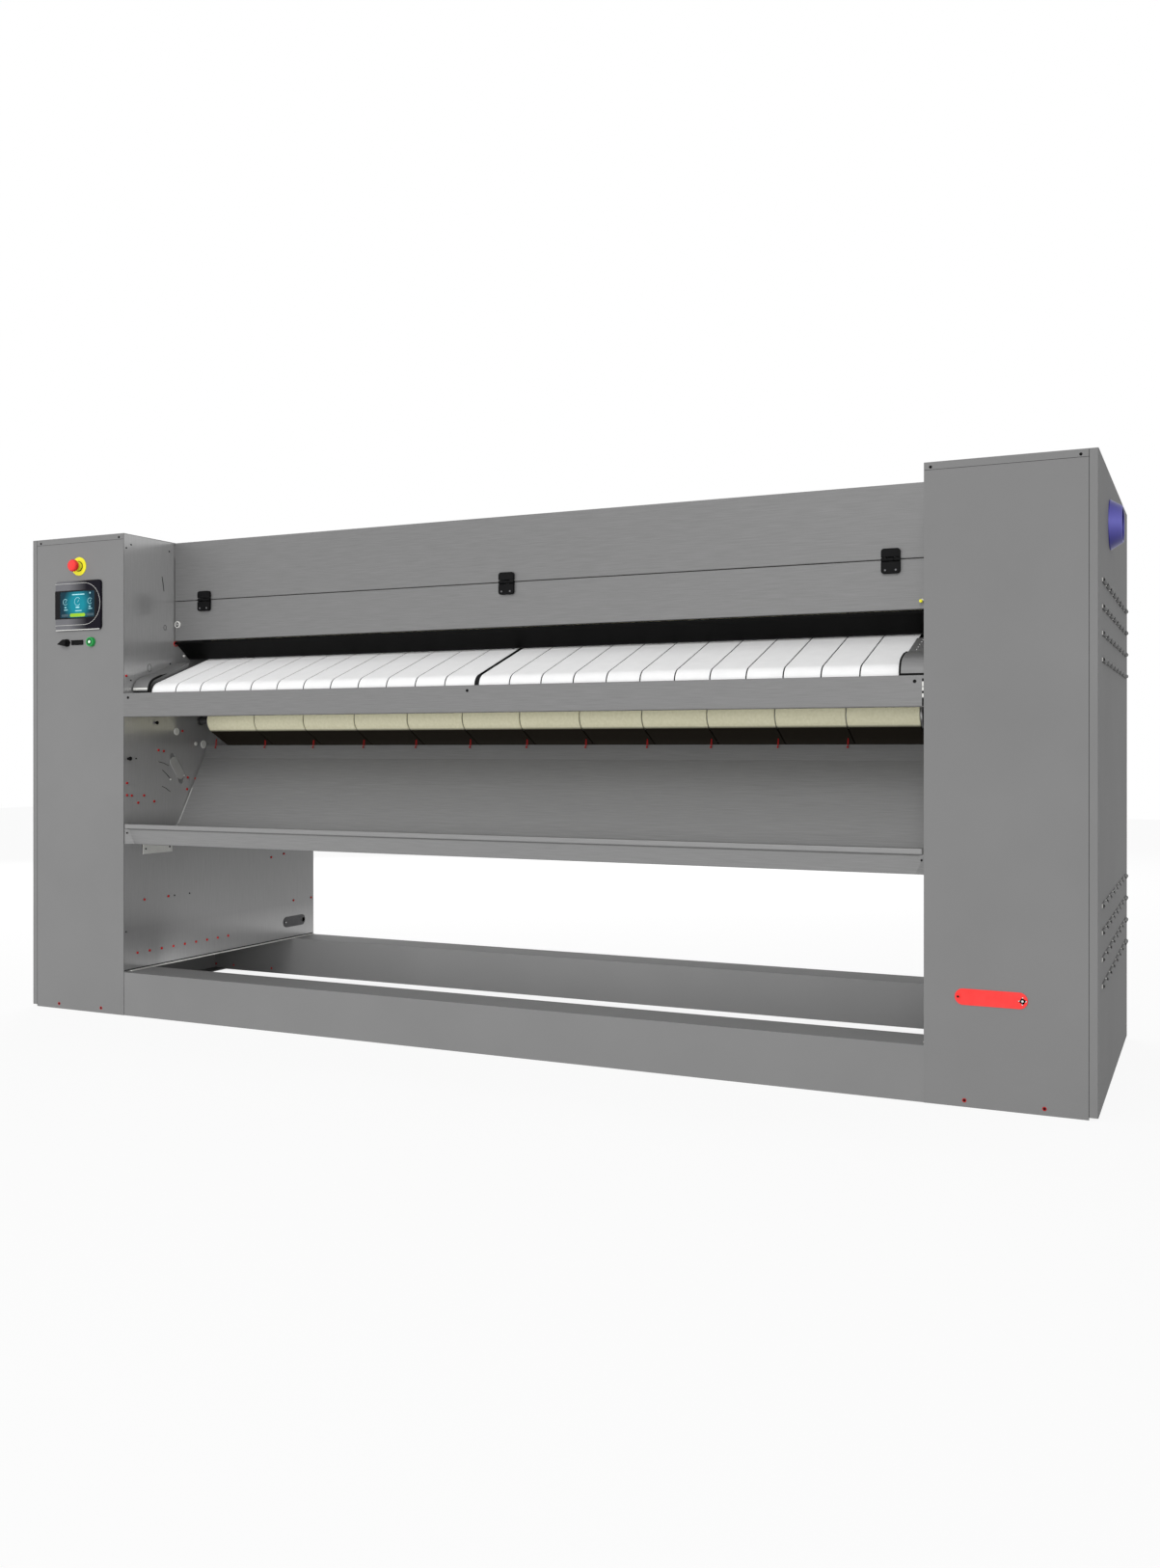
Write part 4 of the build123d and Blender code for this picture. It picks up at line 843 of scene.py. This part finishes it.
sealed = [(12, 1092), (274, 917), (159, 852), (184, 849), (301, 759), (339, 754), (297, 719), (15, 746),
          (15, 707), (36, 705), (65, 681), (92, 704), (139, 683), (94, 363), (206, 363), (753, 454),
          (828, 462), (887, 281), (998, 281)] + [(62 + 56 * k, 193) for k in range(9)]
screws("wall_sealed_screws", [wall(*p) for p in sealed], TO_RIGHT, "signal_red", 4.2,
       finish="red_lacquer", rise=3.4, socket=False)
plain = [(12.5, 1504), (34, 1517), (211, 1518), (32.5, 1078), (215, 1142), (11, 267), (236, 363),
         (310, 363), (56, 825), (35, 988), (60, 985)]
screws("wall_socket_screws", [wall(*p) for p in plain], TO_RIGHT, "black_plastic", 2.8)
bm = bmesh.new()
for depth, height, radius, out in ((147, 943, 6, 9), (19, 825, 6.5, 14)):
    turned(bm, [(radius * 0.55, 0), (radius * 0.55, out * 0.5), (radius, out * 0.55), (radius, out - 1.5),
                (radius * 0.7, out), (0, out)], wall(depth, height), TO_RIGHT, 18)
piece("wall_knobs", bm, "black_plastic", bevel=0.3)
bm = bmesh.new()
for depth, height, radius in ((246, 915, 12.5), (380, 872, 14), (341, 874, 7), (216, 754, 3), (282, 766, 3)):
    turned(bm, [(radius, 0), (radius, 1.2), (radius - 1.5, 2.4), (0, 2.6)], wall(depth, height), TO_RIGHT, 24)
piece("wall_plugs", bm, "polished_sheet", finish="white_plastic")

# %% Scored bracket lines, wall hems and joints
bm = bmesh.new()
for (d0, z0), (d1, z1) in (((176, 1430), (185, 1382)), ((159, 814), (208, 800)), ((177, 786), (216, 755)),
                           ((176, 732), (216, 712))):
    swept(bm, [wall(d0, z0, 0.3), wall((d0 + d1) / 2, (z0 + z1) / 2 + 2, 0.6), wall(d1, z1, 0.3)], 0.9)
piece("wall_bracket_edges", bm, "black_plastic")
for side, label in SIDES:
    bm = bmesh.new()
    side_bar(bm, side, (1264, INNER), (30, 1008), (138, 141))
    piece(f"wall_hem_{label}", bm, "polished_sheet", finish="white_plastic", bevel=0.4)
    bm = bmesh.new()
    side_bar(bm, side, (1269.8, INNER), (4, 1008), (142, 144.5))
    piece(f"wall_joint_{label}", bm, "polished_sheet", finish="dark_rubber")

# %% [markdown]
# An oblong plate and two pressed rings lie between the brackets. They are laid on the wall as thin solids.

# %% Slot plate and pressed rings
slot_ends = arc(232, 812, 17.5, 38, 20, 10) + arc(264, 771, 17.5, 218, 20, 10)
cut("wall_slot_plate", slot_ends, "x", -1269.5, -1271.1, "polished_sheet", finish="edge_grey", bevel=0.4)
bm = bmesh.new()
for depth, height, wide in ((117, 1123, 9), (190, 1261, 6)):
    ring = [wall(depth + u, height + 1.4 * v, 0.3) for u, v in arc(0, 0, wide, 0, 18, 20)]
    swept(bm, ring, 0.7, closed=True)
piece("wall_pressed_rings", bm, "polished_sheet", finish="cover_grey", smooth=80)

# %% [markdown]
# ## Controls
# The stop button is a ribbed mushroom on a yellow collar and disc. The start button is a dark green cap in a
# green ring round a white glowing lens, a painted highlight; the selector is a knob with a pointed lever, and
# the service port has a lidded cap. Round parts are spun from a profile, as a lathe would turn them.

# %% Stop button
STOP = (-1460.3, 1453)
at = spot(STOP[0], 0, STOP[1])
mushroom = [(0, 9), (8, 9), (8, 21), (17, 21.5), (19, 23), (19, 29.5), (17.4, 33.5), (13.5, 36.2),
            (12.5, 35.2), (6, 36.2), (0, 36.4)]
bm = bmesh.new()
turned(bm, mushroom, at, TO_FRONT, 48)
for rib in zip(*(arc(*STOP, radius, 0, 20, 18) for radius in (18.9, 19.1, 17))):
    swept(bm, [spot(x, depth, z) for (x, z), depth in zip(rib, (-23.5, -29, -33.5))], 1.0)
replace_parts(piece("stop_mushroom", bm, "signal_red", "stop", smooth=40), "stop_button")
collar = [(8.4, 2), (14.5, 2), (14.5, 9), (12.5, 14), (8.4, 14), (8.4, 2)]
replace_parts(spun("stop_collar", collar, at, TO_FRONT, "signal_yellow", 36), "button_collars")
spun("stop_seal", [(14.6, 2), (16.4, 2), (16.4, 3), (14.6, 3.6), (14.6, 2)], at, TO_FRONT, "black_plastic",
     36, finish="dark_rubber")

# %% Start button
at = spot(-1406, 0, 1204.5)
ring = [(10.9, 0), (15.5, 0), (15.5, 9), (13.8, 12), (10.9, 12), (10.9, 0)]
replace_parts(spun("start_ring", ring, at, TO_FRONT, "lamp_green", 36), "button_collars")
cap = [(5, 5), (10.4, 5), (10.4, 11), (9, 12.4), (5, 12.4), (5, 5)]
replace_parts(spun("start_cap", cap, at, TO_FRONT, "lamp_green", 36, body="start", finish="cap_green"),
            "start_button")
# The lens glows white: a painted highlight on the start button.
spun("start_lens", [(0, 5), (4.8, 5), (4.8, 12), (3.4, 13), (0, 13.2)], at, TO_FRONT, "lamp_green",
     body="start", finish="start_lamp")

# %% Selector and service port
bm = bmesh.new()
turned(bm, [(12.5, 0), (12.5, 5), (11.5, 8), (0, 8)], spot(-1512.5, 0, 1204.5), TO_FRONT, 36)
beak = [(-30.5, -1.5), (-11, -8.5)] + arc(-3, 0, 10.8, -125, 25, 11)
plate(bm, moved(beak, -1510, 1204.5, math.radians(7)), "y", -20, -7)
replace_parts(piece("selector_lever", bm, "black_plastic", "selector", bevel=1.2), "selector_knob")
bm = bmesh.new()
plate(bm, moved(rounded(51, 14, 3), -1468, 1203.3), "y", -2.8, 0)
barrel(bm, -1493.5, -1442.5, -3, 1211, 1.5)
plate(bm, moved(rounded(20, 2.4, 1.1), -1468, 1198.5), "y", -4.4, -2.5)
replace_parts(piece("port_cap", bm, "black_plastic", "usb", bevel=0.5), "usb_cap")

# %% [markdown]
# The touch unit's face is a dark printed film that fades to grey at its left, with one white curved line.
# A black mask frames the display, and the display shows three plain dials, a few bars and a lime key.

# %% Touch unit face
bm = bmesh.new()
levels = []
for left, right, low, high, depths in ((-1558.5, -1378, 1282, 1375, (-8.0, -8.5)),
                                       (-1537, -1387, 1286, 1371, (-8.5, -8.0))):
    for depth in depths:
        levels.append([bm.verts.new(spot(x, depth, z))
                       for x, z in ((left, low), (right, low), (right, high), (left, high))])
skinned(bm, levels, closed=True)
piece("display_mask", bm, "bezel_plastic", finish="black_gloss")
curve = [(-1557, 1397.5)] + arc(-1431, 1329.5, 68, 90, -7.5, 25) + [(-1557, 1261.5)]
wire("face_line", [spot(x, -8.2, z) for x, z in curve], 0.65, "bezel_plastic", 8, finish="white_plastic",
     smooth=80)
bm = bmesh.new()
box(bm, (-1556, -8.6, 1244.2), (-1366, -6, 1247))
piece("face_lower_trim", bm, "bezel_plastic", finish="white_plastic", bevel=0.8)

# %% Display shapes
GLASS = -7.2  # depth at which the dials lie on the glass


def dial(bm, x, z, radius):
    """A dial: an open ring with a short pointer, just above the glass."""
    swept(bm, [spot(u, GLASS, v) for u, v in arc(x, z, radius, 40, 14, 21)], 0.7)
    swept(bm, [spot(x, GLASS, z - 3), spot(x + radius * 0.45, GLASS, z + radius * 0.45)], 0.6)


def bar(bm, x, z, width, height):
    """A flat key or line on the display."""
    plate(bm, moved(rounded(width, height, min(width, height) * 0.45), x, z), "y", -7.5, -7)


bm = bmesh.new()
for x, radius in ((-1514.5, 9.5), (-1461, 13), (-1407.4, 9.5)):
    dial(bm, x, 1338, radius)
for x, z, width, height in ((-1458, 1361, 54, 3), (-1407, 1364, 5, 5), (-1461, 1319, 16, 4),
                            (-1514, 1320, 8, 3), (-1408, 1320, 8, 3), (-1457, 1308, 28, 2.5),
                            (-1512, 1312, 16, 2), (-1406, 1313, 16, 2)):
    bar(bm, x, z, width, height)
piece("display_dials", bm, "screen_glass", finish="screen_white", smooth=80)
bm = bmesh.new()
bar(bm, -1461, 1294, 66, 11)
piece("display_key", bm, "screen_glass", finish="screen_lime")
bm = bmesh.new()
for x in (-1515, -1407):
    bar(bm, x, 1294, 32, 8)
piece("display_side_keys", bm, "screen_glass", finish="screen_slate")

# %% [markdown]
# ## Covers and cowl
# The red cover closes the crank opening: it hangs on one screw and snaps into a cross-shaped spring latch.
# The wall's obround cover works the same way. The blue cowl shields the motor's air inlet.

# %% Cover fittings
CRANK_LATCH, WALL_LATCH = (1501, 263.5), (945, 202.5)
quarter = [(1.7, 1.7), (1.7, 8.0), (0, 10.0), (-1.7, 8.0)]
cross = []
for turn in (0, -90, -180, -270):
    cross += moved(quarter, 0, 0, math.radians(turn))
cut("crank_cover_latch", moved(cross, *CRANK_LATCH), "y", -4, -2, "bright_steel", body="crank_flap",
    finish="white_plastic", bevel=0.2)
screws("crank_cover_latch_pin", [spot(CRANK_LATCH[0], -4, CRANK_LATCH[1])], TO_FRONT, "bright_steel", 3,
       body="crank_flap", finish="white_plastic", rise=1.2, socket=False)
screws("crank_cover_pivot", [spot(1352.8, -5, 264)], TO_FRONT, "black_plastic", 2.8, body="crank_flap",
       rise=0.8)
screws("wall_cover_pivot", [wall(835.5, 202.5, 5)], TO_RIGHT, "bright_steel", 3, body="wall_flap", rise=0.8)
cut("wall_cover_latch", moved(cross, *WALL_LATCH), "x", 2 - INNER, 3.5 - INNER, "bright_steel",
    body="wall_flap", finish="edge_grey", bevel=0.2)
opening = arc(935, 202.5, 11, -84.375, 11.25, 16) + arc(867, 202.5, 11, 95.625, 11.25, 16)
cut("wall_cover_opening", opening, "x", -INNER - 0.2, -INNER + 0.2, "black_plastic")

# %% Cowl
COWL = (350, 1423)
bell = [(63.5, 0), (63.5, 2), (61.5, 4.5), (46.5, 30.2), (45, 31), (43.2, 31), (42.4, 30), (58, 3), (58, 0),
        (63.5, 0)]
bm = bmesh.new()
turned(bm, bell, spot(HALF, *COWL), TO_RIGHT, 64)
for inner, outer in zip(arc(*COWL, 12, 0, 30, 12), arc(*COWL, 56, 0, 30, 12)):
    swept(bm, [spot(HALF + 3, *inner), spot(HALF + 6, *outer)], 1.5)
for radius in (12, 27, 42):
    swept(bm, [spot(HALF + 4, *point) for point in arc(*COWL, radius, 0, 11.25, 32)], 1.5, closed=True)
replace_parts(piece("cowl", bm, "blue_plastic", finish="cowl_plastic", smooth=35), "fan_cowl")

# %% [markdown]
# ## Rear and sides
# The photograph doesn't show the rear. It is closed as such machines are, with screwed sheets, the isolator
# and the cable entry on the control side, and the vapour spigot on the other.

# %% Rear and side screws, isolator, cable entry
BACK = 1015  # depth of the towers' rear covers
rear = [spot(x, BACK - 4, z) for x in range(-1200, 1201, 300) for z in (580, 1040, 1528)]
rear += [spot(side * x, BACK, z) for side in (-1, 1) for x in (1290, 1640)
         for z in (30, 400, 770, 1140, 1500)]
rear += [spot(side * x, BACK, 1539) for side in (-1, 1) for x in (1290, 1630)]
screws("rear_screws", rear, TO_BACK, "panel_paint", 3.6, finish="dark_rubber")
flank = [spot(-HALF, d, z) for d in (30, 985) for z in (40, 520, 1000, 1500)]
screws("left_flank_screws", flank, TO_LEFT, "panel_paint", 3.4, finish="dark_rubber")
bm = bmesh.new()
turned(bm, [(26, 0), (26, 3), (22, 6), (22, 12), (0, 12)], spot(-1470, BACK, 1180), TO_BACK, 36)
plate(bm, moved(rounded(14, 50, 6), -1470, 1180), "y", BACK + 10, BACK + 34)
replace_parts(piece("isolator_handle", bm, "switch_red", "isolator", bevel=1.5), "main_switch")
entry = [(19, 0), (19, 9), (18, 10), (16, 10), (16, 18), (14, 24), (10, 28), (6, 28), (6, 20), (0, 20)]
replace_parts(spun("cable_entry", entry, spot(-1470, BACK, 230), TO_BACK, "black_plastic", 6, bevel=0.6),
            "cable_gland")
spun("spigot_bead", [(62, 44), (63.5, 45), (63.5, 49), (62, 50), (59.5, 50), (59.5, 44), (62, 44)],
     spot(1445, BACK, 1415), TO_BACK, "galvanised", 48)

# %% [markdown]
# ## Stage, light and camera
# The picture is a cut-out on white. The floor and the world look white to the camera and in mirrors, and
# light the machine more dimly than that.

# %% Floor and world
REACH = 14000
floor_mesh = bpy.data.meshes.new("floor")
bm = bmesh.new()
box(bm, (-REACH, MIDDLE - REACH, -30), (REACH, MIDDLE + REACH, -0.5))
bm.to_mesh(floor_mesh)
bm.free()
floor = placed("floor", floor_mesh)


def background_rays(tree):
    """One for rays from the camera, from mirrors and through glass, else zero."""
    rays = added(tree, "LightPath", {}).outputs
    total = rays["Is Camera Ray"]
    for kind in ("Is Glossy Ray", "Is Transmission Ray"):
        either = added(tree, "Math", {0: total, 1: rays[kind]})
        either.operation = "MAXIMUM"
        total = either.outputs["Value"]
    return total


def mixed(tree, factor, first, second):
    """Two shaders mixed by a factor."""
    return added(tree, "MixShader", {"Fac": factor, 1: first, 2: second}).outputs["Shader"]


WHITE = (1, 1, 1, 1)
white = bpy.data.materials.new("stage_white")
white.use_nodes = True
tree = white.node_tree
shader = tree.nodes["Principled BSDF"]
supply(tree, shader, {"Base Color": (0.42, 0.42, 0.42, 1), "Roughness": 0.9})
glow = added(tree, "Emission", {"Color": WHITE})
pale = added(tree, "BsdfDiffuse", {"Color": (0.95, 0.95, 0.95, 1)})
paper = mixed(tree, 0.9, pale.outputs["BSDF"], glow.outputs["Emission"])
seen = mixed(tree, background_rays(tree), shader.outputs["BSDF"], paper)
supply(tree, tree.nodes["Material Output"], {"Surface": seen})
floor.data.materials.append(white)

world = bpy.data.worlds.new("studio")
bpy.context.scene.world = world
world.use_nodes = True
tree = world.node_tree
light = tree.nodes["Background"]
supply(tree, light, {"Color": WHITE, "Strength": 0.48})
backdrop = added(tree, "Background", {"Color": WHITE, "Strength": 1.0})
seen = mixed(tree, background_rays(tree), light.outputs["Background"], backdrop.outputs["Background"])
supply(tree, tree.nodes["World Output"], {"Surface": seen})

# %% [markdown]
# A wide softbox lights the front and a high sun the tops. One more softbox lights the rear, and a low narrow
# one the space under the tray.

# %% Lamps
def aimed(direction):
    """Rotation that points a lamp along a direction."""
    return Vector(direction).to_track_quat("-Z", "Y").to_euler()


def softbox(name, wide, tall, energy, place, target):
    """A rectangular lamp that shows neither to the camera nor in mirrors."""
    soft = bpy.data.lights.new(name, "AREA")
    soft.shape = "RECTANGLE"
    soft.size = wide
    soft.size_y = tall
    soft.energy = energy
    lamp = placed(name, soft)
    lamp.location = place
    lamp.rotation_euler = aimed(Vector(target) - Vector(place))
    lamp.visible_camera = False
    lamp.visible_glossy = False


softbox("front", 7.0, 1.4, 177, (-0.8, -6.2, 0.8), (-0.8, 0, 0.8))
sun = bpy.data.lights.new("high", "SUN")
sun.energy = 0.85
sun.angle = math.radians(20)
placed("high", sun).rotation_euler = aimed((-0.12, 0.88, -0.46))
softbox("behind", 6.0, 2.0, 330, (-3.4, 5.4, 2.0), (0, 0, 0.8))
softbox("under_tray", 2.4, 0.08, 3.4, (0, -0.36, 0.10), (0, 0.5, 0.10))

# %% [markdown]
# The camera has the place, the turn and the lens that were fitted to the photograph.

# %% Camera
lens = bpy.data.cameras.new("camera")
lens.lens = 31.42
lens.sensor_width = 36
lens.shift_y = -0.0218
lens.clip_end = 60
camera = placed("camera", lens)
camera.location = (1.930, -3.861, 0.858)
camera.rotation_euler = (math.radians(90 - 0.06), 0, math.radians(25.22))
bpy.context.scene.camera = camera
bpy.context.scene.view_settings.view_transform = "Standard"
